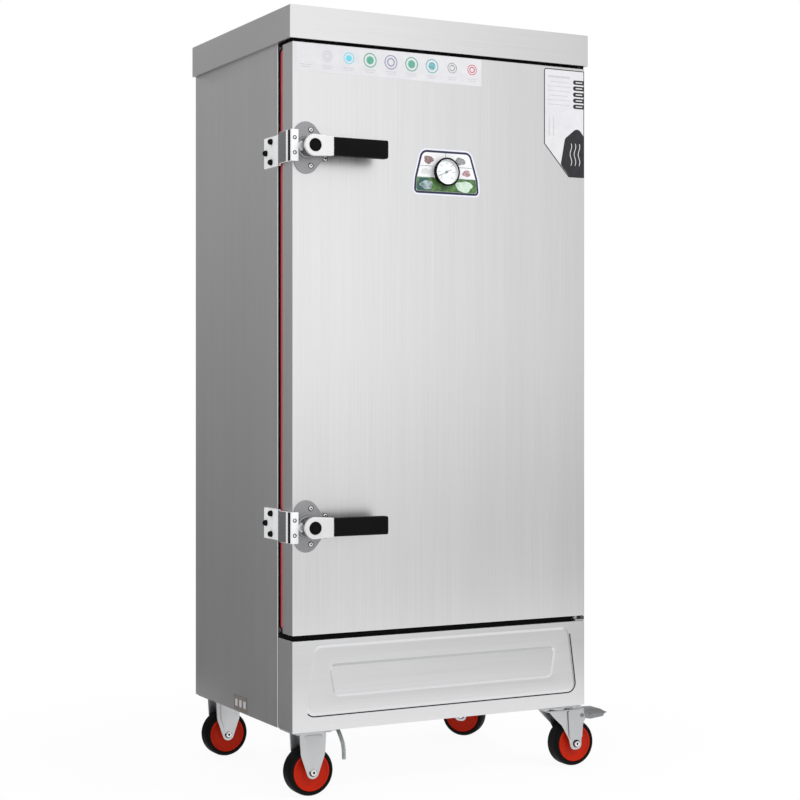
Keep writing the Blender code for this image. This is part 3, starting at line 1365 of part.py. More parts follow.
def gauge_dial():
    """The dial's disc, laid on the floor of the case."""
    radius = GAUGE_RADIUS - 2 * BEZEL_WALL - SEAT_GAP
    floor = GAUGE_PROUD - DIAL_DEPTH + SEAT_GAP
    place = (0, DOOR_FRONT_Y, GAUGE_Z)
    return pin("gauge_dial", radius, floor, floor + DIAL_SHEET, place, "front", ROUND_STEPS)


def gauge_needle():
    """A thin tapered pointer with a hub, just above the dial."""
    back_y = DOOR_FRONT_Y - GAUGE_PROUD + DIAL_DEPTH - DIAL_SHEET - 2 * SEAT_GAP
    outline = hull([(0, -NEEDLE_TAIL, 2 * NEEDLE_HALF), (0, NEEDLE_LENGTH, NEEDLE_HALF)])
    needle = slab("gauge_needle", outline, -NEEDLE_SHEET, 0, "y")
    hub = pin("needle_hub", NEEDLE_HUB, NEEDLE_SHEET / 2, 2 * NEEDLE_SHEET, (0, 0, 0), "front")
    fuse(needle, hub)
    rest = Matrix.Translation((0, back_y, GAUGE_Z)) @ Matrix.Rotation(NEEDLE_REST, 4, "Y")
    for shape in (needle, hub):
        shape.matrix_basis = rest @ shape.matrix_basis
    return needle


# Casters, built about the middle of the mounting face and then moved into place

CASTER_PLATE_HALF_LENGTH = 0.050
CASTER_PLATE_HALF_WIDTH = 0.036
BOLT_HEAD_RADIUS = 0.0062
BOLT_HEAD = 0.0035
NUT_HEIGHT = 0.006


def caster_plate(name):
    """A mounting plate with its four bolts, their nuts above the pan's floor."""
    corner = Vector((CASTER_PLATE_HALF_LENGTH, CASTER_PLATE_HALF_WIDTH))
    outline = rectangle(-corner, corner, BOLT_HEAD_RADIUS)
    under = -SEAT_GAP - PLATE_SHEET
    plate = slab(name, outline, under, -SEAT_GAP, "z")
    seat = PAN_SHEET + SEAT_GAP
    middle = under + PLATE_SHEET / 2
    profile = [
        (0, seat + NUT_HEIGHT), (BOLT_HEAD_RADIUS, seat + NUT_HEIGHT), (BOLT_HEAD_RADIUS, seat),
        (BOLT_RADIUS, seat), (BOLT_RADIUS, middle), (BOLT_HEAD_RADIUS, middle),
        (BOLT_HEAD_RADIUS, under - BOLT_HEAD), (0, under - BOLT_HEAD),
    ]
    bolt = turned(name + "_bolts", profile, (0, 0, 0), "up", HEX_STEPS)
    fuse(plate, repeated(bolt, [(BOLT_X * sx, BOLT_Y * sy, 0) for sx, sy in CORNER_SIGNS]))
    return plate


RIGID_LEG_TOP = 0.030
RIGID_LEG_TIP = 0.0135
RIGID_LEG_WAIST = 0.0275
RIGID_WAIST_DROP = 0.044


def rigid_bracket(name):
    bracket = caster_plate(name)
    top = -SEAT_GAP - PLATE_SHEET / 2
    corner = PLATE_SHEET / 2
    discs = [(side * (RIGID_LEG_TOP - corner), top - corner, corner) for side in (-1, 1)]
    discs += [(0, -RIGID_WAIST_DROP, RIGID_LEG_WAIST), (0, AXLE_Z, RIGID_LEG_TIP)]
    add_legs(bracket, hull(discs), 0)
    return bracket


AXLE_HEAD_RADIUS = 0.0072
AXLE_HEAD = 0.005


def add_legs(bracket, outline, axle_x):
    """Two legs of one outline and the axle that is riveted into them."""
    for side, low in (("front", -LEG_OUTER), ("rear", LEG_INNER)):
        leg = prism("%s_%s_leg" % (bracket.name, side), [outline], low, low + LEG_SHEET, "y")
        fuse(bracket, leg)
    fuse(bracket, axle(bracket.name + "_axle", axle_x))


def axle(name, x):
    head = LEG_OUTER - LEG_SHEET / 2
    end = LEG_OUTER + AXLE_HEAD
    profile = [
        (0, end), (AXLE_HEAD_RADIUS, end), (AXLE_HEAD_RADIUS, head), (AXLE_RADIUS, head),
        (AXLE_RADIUS, -head), (AXLE_HEAD_RADIUS, -head), (AXLE_HEAD_RADIUS, -end), (0, -end),
    ]
    return turned(name, profile, (x, 0, AXLE_Z), "front", HOLE_STEPS)


CORE_HUB_RADIUS = 0.012
CORE_WEB_HALF = 0.0130
CORE_RIM_HALF = 0.0183
CORE_RIM = 0.008


def wheel_core(name, x):
    rim_inner = CORE_RADIUS - CORE_RIM
    half_profile = [
        (AXLE_RADIUS + RUNNING_GAP, HUB_HALF), (CORE_HUB_RADIUS, HUB_HALF),
        (CORE_HUB_RADIUS, CORE_WEB_HALF),
        (rim_inner, CORE_WEB_HALF), (rim_inner, CORE_RIM_HALF), (CORE_RADIUS, CORE_RIM_HALF),
    ]
    profile = half_profile + [(radius, -height) for radius, height in half_profile[::-1]]
    return turned(name, profile, (x, 0, AXLE_Z), "front", closed=True)


TYRE_CROWN_HALF = 0.0125
TYRE_SHOULDER = 0.003


def tyre(name, x):
    inner = CORE_RADIUS + SEAT_GAP
    half = TREAD / 2
    half_profile = [
        (inner, half - TYRE_SHOULDER / 2),
        (inner + TYRE_SHOULDER, half),
        (WHEEL_RADIUS - TYRE_SHOULDER, half - TYRE_SHOULDER / 2),
        (WHEEL_RADIUS, TYRE_CROWN_HALF),
    ]
    profile = half_profile + [(radius, -height) for radius, height in half_profile[::-1]]
    return turned(name, profile, (x, 0, AXLE_Z), "front", closed=True)


RACE_RADIUS = 0.029
RACE_HEIGHT = 0.006
KINGPIN_RADIUS = 0.006
KINGPIN_NUT_RADIUS = 0.010
KINGPIN_NUT = 0.005
FORK_TOP = -SEAT_GAP - PLATE_SHEET - RACE_HEIGHT - SEAT_GAP
FORK_SHEET = 0.003


def swivel_plate(name):
    """The mounting plate with the upper race and the kingpin that holds the fork."""
    plate = caster_plate(name)
    under = -SEAT_GAP - PLATE_SHEET
    nut_top = FORK_TOP - FORK_SHEET - SEAT_GAP
    middle = under + PLATE_SHEET / 2
    race_end = under - RACE_HEIGHT
    nut_end = nut_top - KINGPIN_NUT
    profile = [
        (0, middle), (RACE_RADIUS, middle), (RACE_RADIUS, race_end), (KINGPIN_RADIUS, race_end),
        (KINGPIN_RADIUS, nut_top), (KINGPIN_NUT_RADIUS, nut_top),
        (KINGPIN_NUT_RADIUS, nut_end), (0, nut_end),
    ]
    fuse(plate, turned(name + "_kingpin", profile, (0, 0, 0), "up", SMALL_STEPS))
    return plate


FORK_BACK = 0.0305
FORK_NOSE = 0.064
FORK_EDGE = 0.0025
FORK_CHEEK_REACH = 0.067
FORK_CHEEK_DROP = 0.033
FORK_CHIN_REACH = 0.057
FORK_CHIN_DROP = 0.048
FORK_CHEEK_RADIUS = 0.006
FORK_LEG_TIP = 0.013
FORK_TIP_SHARE = 0.9


def swivel_fork(name):
    """The lower race with two raked legs below it."""
    cheek = LEG_OUTER - FORK_EDGE / 2
    back_x = FORK_EDGE - FORK_BACK
    nose_x = FORK_NOSE - FORK_EDGE
    discs = [(0, 0, RACE_RADIUS)]
    discs += [(x, side * cheek, FORK_EDGE) for x in (back_x, nose_x) for side in (-1, 1)]
    fork = slab(name, hull(discs), FORK_TOP - FORK_SHEET, FORK_TOP, "z")
    leg_top = FORK_TOP - FORK_SHEET / 2
    leg_end = AXLE_Z - FORK_LEG_TIP
    corners = [
        (back_x, leg_top), (nose_x, leg_top),
        (FORK_CHEEK_REACH, -FORK_CHEEK_DROP), (FORK_CHIN_REACH, -FORK_CHIN_DROP),
        (TRAIL + FORK_LEG_TIP, leg_end), (TRAIL - FORK_LEG_TIP, leg_end),
    ]
    tip_radius = FORK_LEG_TIP * FORK_TIP_SHARE
    radii = [0, 0, FORK_CHEEK_RADIUS, FORK_CHEEK_RADIUS, tip_radius, tip_radius]
    add_legs(fork, rounded(corners, radii), TRAIL)
    reach = -LEG_OUTER - OVERRUN, LEG_OUTER + OVERRUN
    pedal_place = (PEDAL_PIN_X, 0, PEDAL_PIN_Z)
    cut(fork, bore(name + "_pedal_holes", PEDAL_PIN_RADIUS + RUNNING_GAP, *reach, pedal_place, "front"))
    reach = FORK_TOP - FORK_SHEET - OVERRUN, FORK_TOP + OVERRUN
    cut(fork, bore(name + "_kingpin_hole", KINGPIN_RADIUS + RUNNING_GAP, *reach, (0, 0, 0)))
    return fork


PEDAL_PIN_RADIUS = 0.003
PEDAL_HALF = 0.0175
PEDAL_SHEET = 0.0025
PEDAL_TOOTH = 0.006
PEDAL_TEETH = 3
PEDAL_HEEL = 0.008
PEDAL_NECK = 0.010
PEDAL_NECK_RISE = 0.002
PEDAL_NECK_BEND = 0.008
PEDAL_KNEE = 0.026
PEDAL_KNEE_RISE = 0.008
PEDAL_KNEE_BEND = 0.010
PEDAL_SOLE = 0.052
PEDAL_SOLE_RISE = 0.007
PEDAL_SOLE_BEND = 0.020
PEDAL_TIP_DROP = 0.003


def brake_pedal(name):
    """A bent foot plate on a cross pin, with a toothed end."""
    path = rounded(
        [
            (PEDAL_PIN_X - PEDAL_HEEL, PEDAL_PIN_Z + PEDAL_NECK_RISE),
            (PEDAL_PIN_X + PEDAL_NECK, PEDAL_PIN_Z + PEDAL_NECK_RISE),
            (PEDAL_PIN_X + PEDAL_KNEE, PEDAL_PIN_Z + PEDAL_KNEE_RISE),
            (PEDAL_PIN_X + PEDAL_SOLE, PEDAL_PIN_Z + PEDAL_SOLE_RISE),
            (PEDAL_REACH, PEDAL_PIN_Z - PEDAL_TIP_DROP),
        ],
        [0, PEDAL_NECK_BEND, PEDAL_KNEE_BEND, PEDAL_SOLE_BEND, 0],
        closed=False,
    )
    pedal = slab(name, strip(path, PEDAL_SHEET), -PEDAL_HALF, PEDAL_HALF, "y")
    place = (PEDAL_PIN_X, 0, PEDAL_PIN_Z)
    fuse(pedal, pin(name + "_pin", PEDAL_PIN_RADIUS, -LEG_OUTER, LEG_OUTER, place, "front"))
    pitch = 2 * PEDAL_HALF / PEDAL_TEETH
    end = PEDAL_REACH + OVERRUN
    notch = [(PEDAL_REACH - PEDAL_TOOTH, 0), (end, -pitch / 2), (end, pitch / 2)]
    gaps = slab(name + "_notches", notch, PEDAL_PIN_Z - 2 * OVERRUN, PEDAL_PIN_Z + 2 * OVERRUN, "z")
    shifts = [(0, (index - (PEDAL_TEETH - 1) / 2) * pitch, 0) for index in range(PEDAL_TEETH)]
    cut(pedal, repeated(gaps, shifts))
    return pedal


def pivot(name, place, carrier, turn=None):
    """An empty on a joint's axis."""
    empty = bpy.data.objects.new(name, None)
    empty.matrix_basis = Matrix.Translation(place) @ (turn or Matrix())
    bpy.context.scene.collection.objects.link(empty)
    if carrier:
        riders.append((empty, carrier))
    return empty


def move_new(known, transform):
    """Move every object that isn't in the known set."""
    for thing in list(parts.objects) + list(cutters.objects):
        if thing.name not in known:
            thing.matrix_basis = transform @ thing.matrix_basis


def names_now():
    return {thing.name for thing in list(parts.objects) + list(cutters.objects)}


def rigid_caster(corner, datum):
    known = names_now()
    bracket = rigid_bracket(corner + "_caster_bracket")
    wheel = [wheel_core(corner + "_wheel_core", 0), tyre(corner + "_tyre", 0)]
    x, y = caster_places()[corner]
    move_new(known, Matrix.Translation((x, y, CASTER_HEIGHT)))
    spin = pivot(corner + "_wheel_axis", (x, y, CASTER_HEIGHT + AXLE_Z), datum)
    riders.append((bracket, datum))
    riders.extend((piece, spin) for piece in wheel)


def swivel_caster(corner, heading, datum):
    x, y = caster_places()[corner]
    turn = Matrix.Rotation(heading, 4, "Z")
    place = Matrix.Translation((x, y, CASTER_HEIGHT))
    known = names_now()
    plate = swivel_plate(corner + "_caster_plate")
    move_new(known, place)
    known = names_now()
    fork = swivel_fork(corner + "_fork")
    wheel = [wheel_core(corner + "_wheel_core", TRAIL), tyre(corner + "_tyre", TRAIL)]
    pedal = brake_pedal(corner + "_brake_pedal")
    move_new(known, place @ turn)
    swivel = pivot(corner + "_swivel_axis", (x, y, CASTER_HEIGHT), datum)
    axle_place = place @ turn @ Vector((TRAIL, 0, AXLE_Z))
    pedal_place = place @ turn @ Vector((PEDAL_PIN_X, 0, PEDAL_PIN_Z))
    spin = pivot(corner + "_wheel_axis", axle_place, swivel, turn)
    press = pivot(corner + "_pedal_axis", pedal_place, swivel, turn)
    riders.append((plate, datum))
    riders.append((fork, swivel))
    riders.extend((piece, spin) for piece in wheel)
    riders.append((pedal, press))


# Assembly

PIECE_FINISHES = {
    "polished_steel": ("latch_base", "lever", "strike"),
    "zinc": ("caster", "fork", "pedal", "pivot"),
    "red_silicone": ("gasket",),
    "red_plastic": ("wheel_core",),
    "black_rubber": ("tyre",),
    "black_plastic": ("grip", "gland", "gauge_case", "needle"),
    "white_plastic": ("bush",),
    "foam": ("foam", "insulation"),
    "glass": ("glass",),
    "hose": ("hose",),
}


def finish_of(name):
    for finish, words in PIECE_FINISHES.items():
        if any(word in name for word in words) and not (finish == "zinc" and "bush" in name):
            return finish
    return "brushed_steel"


def give_materials():
    for piece in parts.objects:
        colour, roughness, metallic = FINISHES[finish_of(piece.name)]
        material = bpy.data.materials.new(piece.name)
        material.use_nodes = True
        shader = material.node_tree.nodes["Principled BSDF"]
        shader.inputs["Base Color"].default_value = (*colour, 1)
        shader.inputs["Roughness"].default_value = roughness
        shader.inputs["Metallic"].default_value = metallic
        piece.data.materials.clear()
        piece.data.materials.append(material)


def attach_riders():
    """Parent every piece to what carries it, without moving it."""
    bpy.context.view_layer.update()
    inverses = [carrier.matrix_world.inverted() for rider, carrier in riders]
    for (rider, carrier), inverse in zip(riders, inverses):
        rider.parent = carrier
        rider.matrix_parent_inverse = inverse


def centre_on_floor(datum):
    """Shift the datum so that the origin lies on the floor under the middle of the object."""
    bpy.context.view_layer.update()
    graph = bpy.context.evaluated_depsgraph_get()
    corners = []
    for piece in parts.objects:
        if piece.name != "drain_hose":
            evaluated = piece.evaluated_get(graph)
            corners += [evaluated.matrix_world @ Vector(corner) for corner in evaluated.bound_box]
    for axis in (0, 1):
        values = [corner[axis] for corner in corners]
        datum.location[axis] = -(min(values) + max(values)) / 2
    bpy.context.view_layer.update()


def build():
    clear_scene()
    datum = pivot("datum", (0, 0, 0), None)
    left = side_panel("left_side_panel", -1)
    drill_side_panel(left)
    fixed = [
        left, side_panel("right_side_panel", 1), back_panel(), top_cap(), front_frame(),
        water_tank(), *liner_sheets(), insulation(), base_frame(), front_base_panel(),
        tray_rack("left_rack", -1), tray_rack("right_rack", 1), baffle_plate(), heating_element(),
        rear_cover(), cable_gland(), water_inlet(), vent_pipe(), drain_hose(),
        upper_pivot(), lower_pivot(),
        strike("upper_strike", UPPER_LATCH_Z), strike("lower_strike", LOWER_LATCH_Z),
    ]
    riders.extend((piece, datum) for piece in fixed)
    for name, ledge in zip(("upper_tray", "lower_tray"), TRAY_LEDGES[::-1]):
        pan = tray(name, ledge)
        axis = pivot(name + "_axis", (0, TRAY_MIDDLE_Y, ledge_top(ledge)), datum)
        riders.append((pan, axis))
    door_axis = pivot("door_axis", (PIVOT_X, PIVOT_Y, DOOR_BOTTOM_Z), datum)
    door = [
        door_skin(), door_liner(), door_foam(), door_gasket(),
        latch_base("upper_latch_base", UPPER_LATCH_Z), latch_base("lower_latch_base", LOWER_LATCH_Z),
        gauge_case(), gauge_dial(), gauge_glass(),
        pivot_bush("upper_pivot_bush", DOOR_TOP_Z + SEAT_GAP, -1),
        pivot_bush("lower_pivot_bush", DOOR_BOTTOM_Z - SEAT_GAP, 1),
    ]
    riders.extend((piece, door_axis) for piece in door)
    for name, middle in (("upper", UPPER_LATCH_Z), ("lower", LOWER_LATCH_Z)):
        axis = pivot(name + "_lever_axis", (LATCH_X, DOOR_FRONT_Y, middle), door_axis)
        riders.extend([(lever(name + "_lever", middle), axis), (grip(name + "_grip", middle), axis)])
    needle_axis = pivot("needle_axis", (0, DOOR_FRONT_Y, GAUGE_Z), door_axis)
    riders.append((gauge_needle(), needle_axis))
    rigid_caster("front_left", datum)
    rigid_caster("rear_left", datum)
    swivel_caster("front_right", FRONT_SWIVEL_HEADING, datum)
    swivel_caster("rear_right", REAR_SWIVEL_HEADING, datum)
    give_materials()
    attach_riders()
    centre_on_floor(datum)


build()
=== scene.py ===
"""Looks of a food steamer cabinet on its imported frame, laid out as an add-on and run as a script."""

import math

import bmesh
import bpy
from bpy.props import FloatProperty, FloatVectorProperty, IntProperty, PointerProperty
from mathutils import Matrix, Vector
from mathutils.geometry import tessellate_polygon


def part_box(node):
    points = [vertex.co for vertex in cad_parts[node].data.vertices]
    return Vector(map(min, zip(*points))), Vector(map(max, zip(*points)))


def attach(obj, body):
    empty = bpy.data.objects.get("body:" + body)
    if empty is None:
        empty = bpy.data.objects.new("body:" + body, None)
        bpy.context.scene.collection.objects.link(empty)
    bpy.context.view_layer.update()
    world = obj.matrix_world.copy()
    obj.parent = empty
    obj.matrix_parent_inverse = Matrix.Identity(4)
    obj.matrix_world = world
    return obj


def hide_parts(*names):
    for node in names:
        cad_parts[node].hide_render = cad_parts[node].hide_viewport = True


bl_info = {
    "name": "Food Steamer Cabinet",
    "version": (1, 0, 0),
    "blender": (4, 5, 0),
    "location": "3D View > Sidebar > Steamer Cabinet",
    "description": "Builds a stainless steel food steamer cabinet on casters around its packed frame",
    "category": "Add Mesh",
}

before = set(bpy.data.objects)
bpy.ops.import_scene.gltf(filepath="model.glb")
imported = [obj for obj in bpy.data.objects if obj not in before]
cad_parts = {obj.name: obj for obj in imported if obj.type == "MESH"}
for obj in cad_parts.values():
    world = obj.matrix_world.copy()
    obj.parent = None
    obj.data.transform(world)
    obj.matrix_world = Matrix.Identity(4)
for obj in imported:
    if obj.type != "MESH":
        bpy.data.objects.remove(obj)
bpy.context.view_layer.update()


# Places, in the cabinet's own frame: x from its middle, y from the middle of the carcass, z from the floor

skin_low, skin_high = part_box("door_skin")
HALF = (skin_high.x - skin_low.x) / 2
DOOR_FRONT = -0.3015
DATUM = Vector(((skin_low.x + skin_high.x) / 2, skin_low.y - DOOR_FRONT, 0))


def box_of(node):
    """A frame node's two corners in the cabinet's own frame."""
    low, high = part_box(node)
    return low - DATUM, high - DATUM


DOOR_LOW, DOOR_HIGH = box_of("door_skin")
CAP_LOW, CAP_HIGH = box_of("top_cap")
PANEL_LOW, PANEL_HIGH = box_of("front_base_panel")
BODY_FRONT = box_of("left_side_panel")[0].y
BASE_Z = PANEL_LOW.z
LATCHES = {"upper": 1.3123, "lower": 0.5505}
LATCH_X = -0.3227
GAUGE_Z = 1.2803
SHEET = 0.001
FILM = 0.00014
SMOOTH_BELOW = math.radians(38)


# Shapes: each function below gives a bmesh in the cabinet's own frame

def rounded(points, radii, steps=5, closed=True):
    """The points with each corner replaced by an arc of its radius."""
    corners = [Vector(point) for point in points]
    result = []
    for index, (here, radius) in enumerate(zip(corners, radii)):
        if radius == 0 or (not closed and index in (0, len(corners) - 1)):
            result.append(here)
            continue
        before = (corners[index - 1] - here).normalized()
        after = (corners[(index + 1) % len(corners)] - here).normalized()
        half = before.angle(after) / 2
        middle = here + (before + after).normalized() * radius / math.sin(half)
        reach = radius / math.tan(half)
        first = here + before * reach - middle
        last = here + after * reach - middle
        start = math.atan2(first.y, first.x)
        sweep = (math.atan2(last.y, last.x) - start + math.pi) % (2 * math.pi) - math.pi
        for step in range(steps + 1):
            turn = start + sweep * step / steps
            result.append(middle + radius * Vector((math.cos(turn), math.sin(turn))))
    return result


def rectangle(low, high, radius, steps=5):
    """The outline of a rectangle between two corners, rounded at each."""
    corners = [(low[0], low[1]), (high[0], low[1]), (high[0], high[1]), (low[0], high[1])]
    return rounded(corners, [radius] * 4, steps)


def circle(centre, radius, steps=32):
    """Points round a circle."""
    x, y = centre
    turns = [2 * math.pi * step / steps for step in range(steps)]
    return [Vector((x + radius * math.cos(turn), y + radius * math.sin(turn))) for turn in turns]


def taut(discs, steps=40):
    """The taut outline round a set of discs, each given as (x, y, radius)."""
    points = sorted(tuple(point) for x, y, radius in discs for point in circle((x, y), radius, steps))

    def half_hull(ordered):
        chain = []
        for point in ordered:
            while len(chain) > 1:
                (ax, ay), (bx, by) = chain[-2:]
                if (bx - ax) * (point[1] - ay) - (by - ay) * (point[0] - ax) > 1e-10:
                    break
                chain.pop()
            chain.append(point)
        return chain[:-1]

    return [Vector(point) for point in half_hull(points) + half_hull(points[::-1])]


def area_of(loop):
    """The area within a loop, negative where the loop runs clockwise."""
    return sum(a[0] * b[1] - b[0] * a[1] for a, b in zip(loop, loop[1:] + loop[:1])) / 2


def drawn_in(loop, distance):
    """A counter-clockwise loop moved inwards by a distance, its corners mitred."""
    result = []
    for before, here, after in zip(loop[-1:] + loop[:-1], loop, loop[1:] + loop[:1]):
        one = (here - before).normalized()
        two = (after - here).normalized()
        left = Vector((-one.y - two.y, one.x + two.x))
        result.append(here + left * distance / max(0.3, left.dot(Vector((-one.y, one.x)))))
    return result


def lay(point, depth, across):
    """A flat point and a depth along an axis as a point in space."""
    one, two = point
    return {"x": (depth, one, two), "y": (one, depth, two), "z": (one, two, depth)}[across]


def loft(shape, rings, closed=False):
    """Quads between rings of points that run round."""
    made = [[shape.verts.new(point) for point in ring] for ring in rings]
    pairs = list(zip(made, made[1:])) + ([(made[-1], made[0])] if closed else [])
    for one, two in pairs:
        for index in range(len(one)):
            after = (index + 1) % len(one)
            shape.faces.new((one[index], one[after], two[after], two[index]))
    return made


def settled(shape):
    """The shape with its normals turned outwards."""
    bmesh.ops.recalc_face_normals(shape, faces=shape.faces[:])
    return shape


def plate(loops, low, high, across, edge=0.0, steps=3):
    """A flat outline, the first loop, less its holes, with a thickness and rounded edges."""
    shape = bmesh.new()
    turns = [math.pi / 2 * step / steps for step in range(steps + 1)] if edge else [math.pi / 2]
    rounding = [(edge * (1 - math.cos(turn)), edge * (1 - math.sin(turn))) for turn in turns]
    sections = [(low + rise, inset) for rise, inset in rounding]
    sections += [(high - rise, inset) for rise, inset in rounding[::-1]]
    rows = []
    for index, loop in enumerate(loops):
        points = [Vector(point) for point in loop]
        if (area_of(points) > 0) == (index > 0):
            points.reverse()
        rings = []
        for depth, inset in sections:
            outline = drawn_in(points, inset) if inset else points
            rings.append([lay(point, depth, across) for point in outline])
        rows.append(loft(shape, rings))
    for end in (0, -1):
        flat = [[vert.co.copy() for vert in made[end]] for made in rows]
        verts = [vert for made in rows for vert in made[end]]
        for triangle in tessellate_polygon(flat):
            if len(set(triangle)) == 3:
                shape.faces.new([verts[index] for index in triangle])
    return settled(shape)


def block(low, high, edge, steps=2):
    """A box between two corners with rounded edges."""
    return plate([rectangle(low[:2], high[:2], edge, steps)], low[2], high[2], "z", edge, steps)


def folded_tray(low, high, opening, radius):
    """A sheet folded into a tray that is open towards one side, given as an axis number and a sign."""
    axis, sign = opening
    shape = bmesh.new()
    bmesh.ops.create_cube(shape, size=1)
    for vert in shape.verts:
        vert.co = [low[i] if vert.co[i] < 0 else high[i] for i in range(3)]
    shape.normal_update()
    open_side = [face for face in shape.faces if face.normal[axis] * sign > 0.5]
    bmesh.ops.delete(shape, geom=open_side, context="FACES")
    folds = [edge for edge in shape.edges if len(edge.link_faces) == 2]
    bmesh.ops.bevel(
        shape, geom=folds, offset=radius, segments=4, profile=0.5, affect="EDGES", clamp_overlap=True)
    settled(shape)
    bmesh.ops.solidify(shape, geom=shape.faces[:], thickness=SHEET)
    return shape


def turned(profile, place, facing, steps, closed=False):
    """A profile of (radius, height) points turned about its axis."""
    shape = bmesh.new()
    rings = []
    for radius, height in profile:
        if radius < 1e-7:
            rings.append([shape.verts.new((0, 0, height))])
        else:
            rings.append([shape.verts.new((*point, height)) for point in circle((0, 0), radius, steps)])
    pairs = list(zip(rings, rings[1:])) + ([(rings[-1], rings[0])] if closed else [])
    for one, two in pairs:
        for index in range(steps):
            after = (index + 1) % steps
            corners = []
            for ring, number in ((one, index), (one, after), (two, after), (two, index)):
                vert = ring[number % len(ring)]
                if vert not in corners:
                    corners.append(vert)
            if len(corners) > 2:
                shape.faces.new(corners)
    settled(shape)
    turn = {
        "up": Matrix(),
        "left": Matrix.Rotation(-math.pi / 2, 4, "Y"),
        "front": Matrix.Rotation(math.pi / 2, 4, "X"),
        "back": Matrix.Rotation(-math.pi / 2, 4, "X"),
    }[facing]
    bmesh.ops.transform(shape, matrix=Matrix.Translation(place) @ turn, verts=shape.verts)
    return shape


def strap(path, sheet, low, high, across, edge=0.0):
    """A bent strip of sheet that lies to the left of a path."""
    offset = []
    for index, here in enumerate(path):
        normals = []
        for start, end in ((index - 1, index), (index, index + 1)):
            if start >= 0 and end < len(path):
                along = (path[end] - path[start]).normalized()
                normals.append(Vector((-along.y, along.x)))
        mitre = sum(normals, Vector((0, 0)))
        offset.append(here + mitre * sheet / mitre.dot(normals[0]))
    return plate([list(path) + offset[::-1]], low, high, across, edge, 2)


def pipe(route, radius, inner, sides):
    """A pipe of an outer and an inner radius along a route."""
    points = [Vector(point) for point in route]
    along = (points[1] - points[0]).normalized()
    side = along.orthogonal().normalized()
    outer_rings, inner_rings = [], []
    for index, point in enumerate(points):
        ahead = (points[min(index + 1, len(points) - 1)] - points[max(index - 1, 0)]).normalized()
        side = along.rotation_difference(ahead) @ side
        along = ahead
        other = along.cross(side)
        for rings, size in ((outer_rings, radius), (inner_rings, inner)):
            rings.append([point + (side * x + other * y) for x, y in circle((0, 0), size, sides)])
    shape = bmesh.new()
    loft(shape, outer_rings + inner_rings[::-1], closed=True)
    return settled(shape)


def joined(*shapes):
    """One bmesh of several, each of which is used up."""
    result = bmesh.new()
    for shape in shapes:
        mesh = bpy.data.meshes.new("joined")
        shape.to_mesh(mesh)
        shape.free()
        result.from_mesh(mesh)
        bpy.data.meshes.remove(mesh)
    return result


def copies(shape, places):
    """The shape repeated at each shift."""
    result = bmesh.new()
    mesh = bpy.data.meshes.new("copies")
    shape.to_mesh(mesh)
    shape.free()
    for place in places:
        start = len(result.verts)
        result.from_mesh(mesh)
        result.verts.ensure_lookup_table()
        bmesh.ops.transform(result, matrix=Matrix.Translation(place), verts=result.verts[start:])
    bpy.data.meshes.remove(mesh)
    return result


def show(name, shape, material, body, nodes=(), place=None):
    """Turns a bmesh into a piece of the scene that rides on a body and may stand for frame nodes."""
    bmesh.ops.transform(shape, matrix=place or Matrix.Translation(DATUM), verts=shape.verts)
    mesh = bpy.data.meshes.new(name)
    shape.to_mesh(mesh)
    shape.free()
    mesh.polygons.foreach_set("use_smooth", [True] * len(mesh.polygons))
    mesh.set_sharp_from_angle(angle=SMOOTH_BELOW)
    mesh.materials.append(finish(material))
    piece = bpy.data.objects.new(name, mesh)
    bpy.context.scene.collection.objects.link(piece)
    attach(piece, body)
    if nodes:
        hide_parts(*nodes)
    return piece


# Materials

def linear(code):
    """An sRGB hex colour as linear red, green, blue and alpha."""
    channels = [int(code[index:index + 2], 16) / 255 for index in (1, 3, 5)]
    return tuple(c / 12.92 if c <= 0.04045 else ((c + 0.055) / 1.055) ** 2.4 for c in channels) + (1.0,)


def fill(tree, node, links):
    """Gives a node's inputs, by name or number, a value, a socket, or a node that feeds its first output."""
    for key, value in links.items():
        if isinstance(value, bpy.types.Node):
            value = value.outputs[0]
        if isinstance(value, bpy.types.NodeSocket):
            tree.links.new(value, node.inputs[key])
        else:
            node.inputs[key].default_value = value


def add_node(tree, kind, links=None, **settings):
    """Adds a node with its settings and fills its inputs."""
    node = tree.nodes.new(kind)
    for key, value in settings.items():
        setattr(node, key, value)
    fill(tree, node, links or {})
    return node


def new_material(name):
    """A new material, its tree, its shader and the object coordinates that its patterns start from."""
    material = bpy.data.materials.new(name)
    material.use_nodes = True
    tree = material.node_tree
    shader = tree.nodes["Principled BSDF"]
    where = add_node(tree, "ShaderNodeTexCoord").outputs["Object"]
    return material, tree, shader, where


def shade(colour, factor):
    """A colour made darker or lighter."""
    return tuple(channel * factor for channel in colour[:3]) + (1.0,)


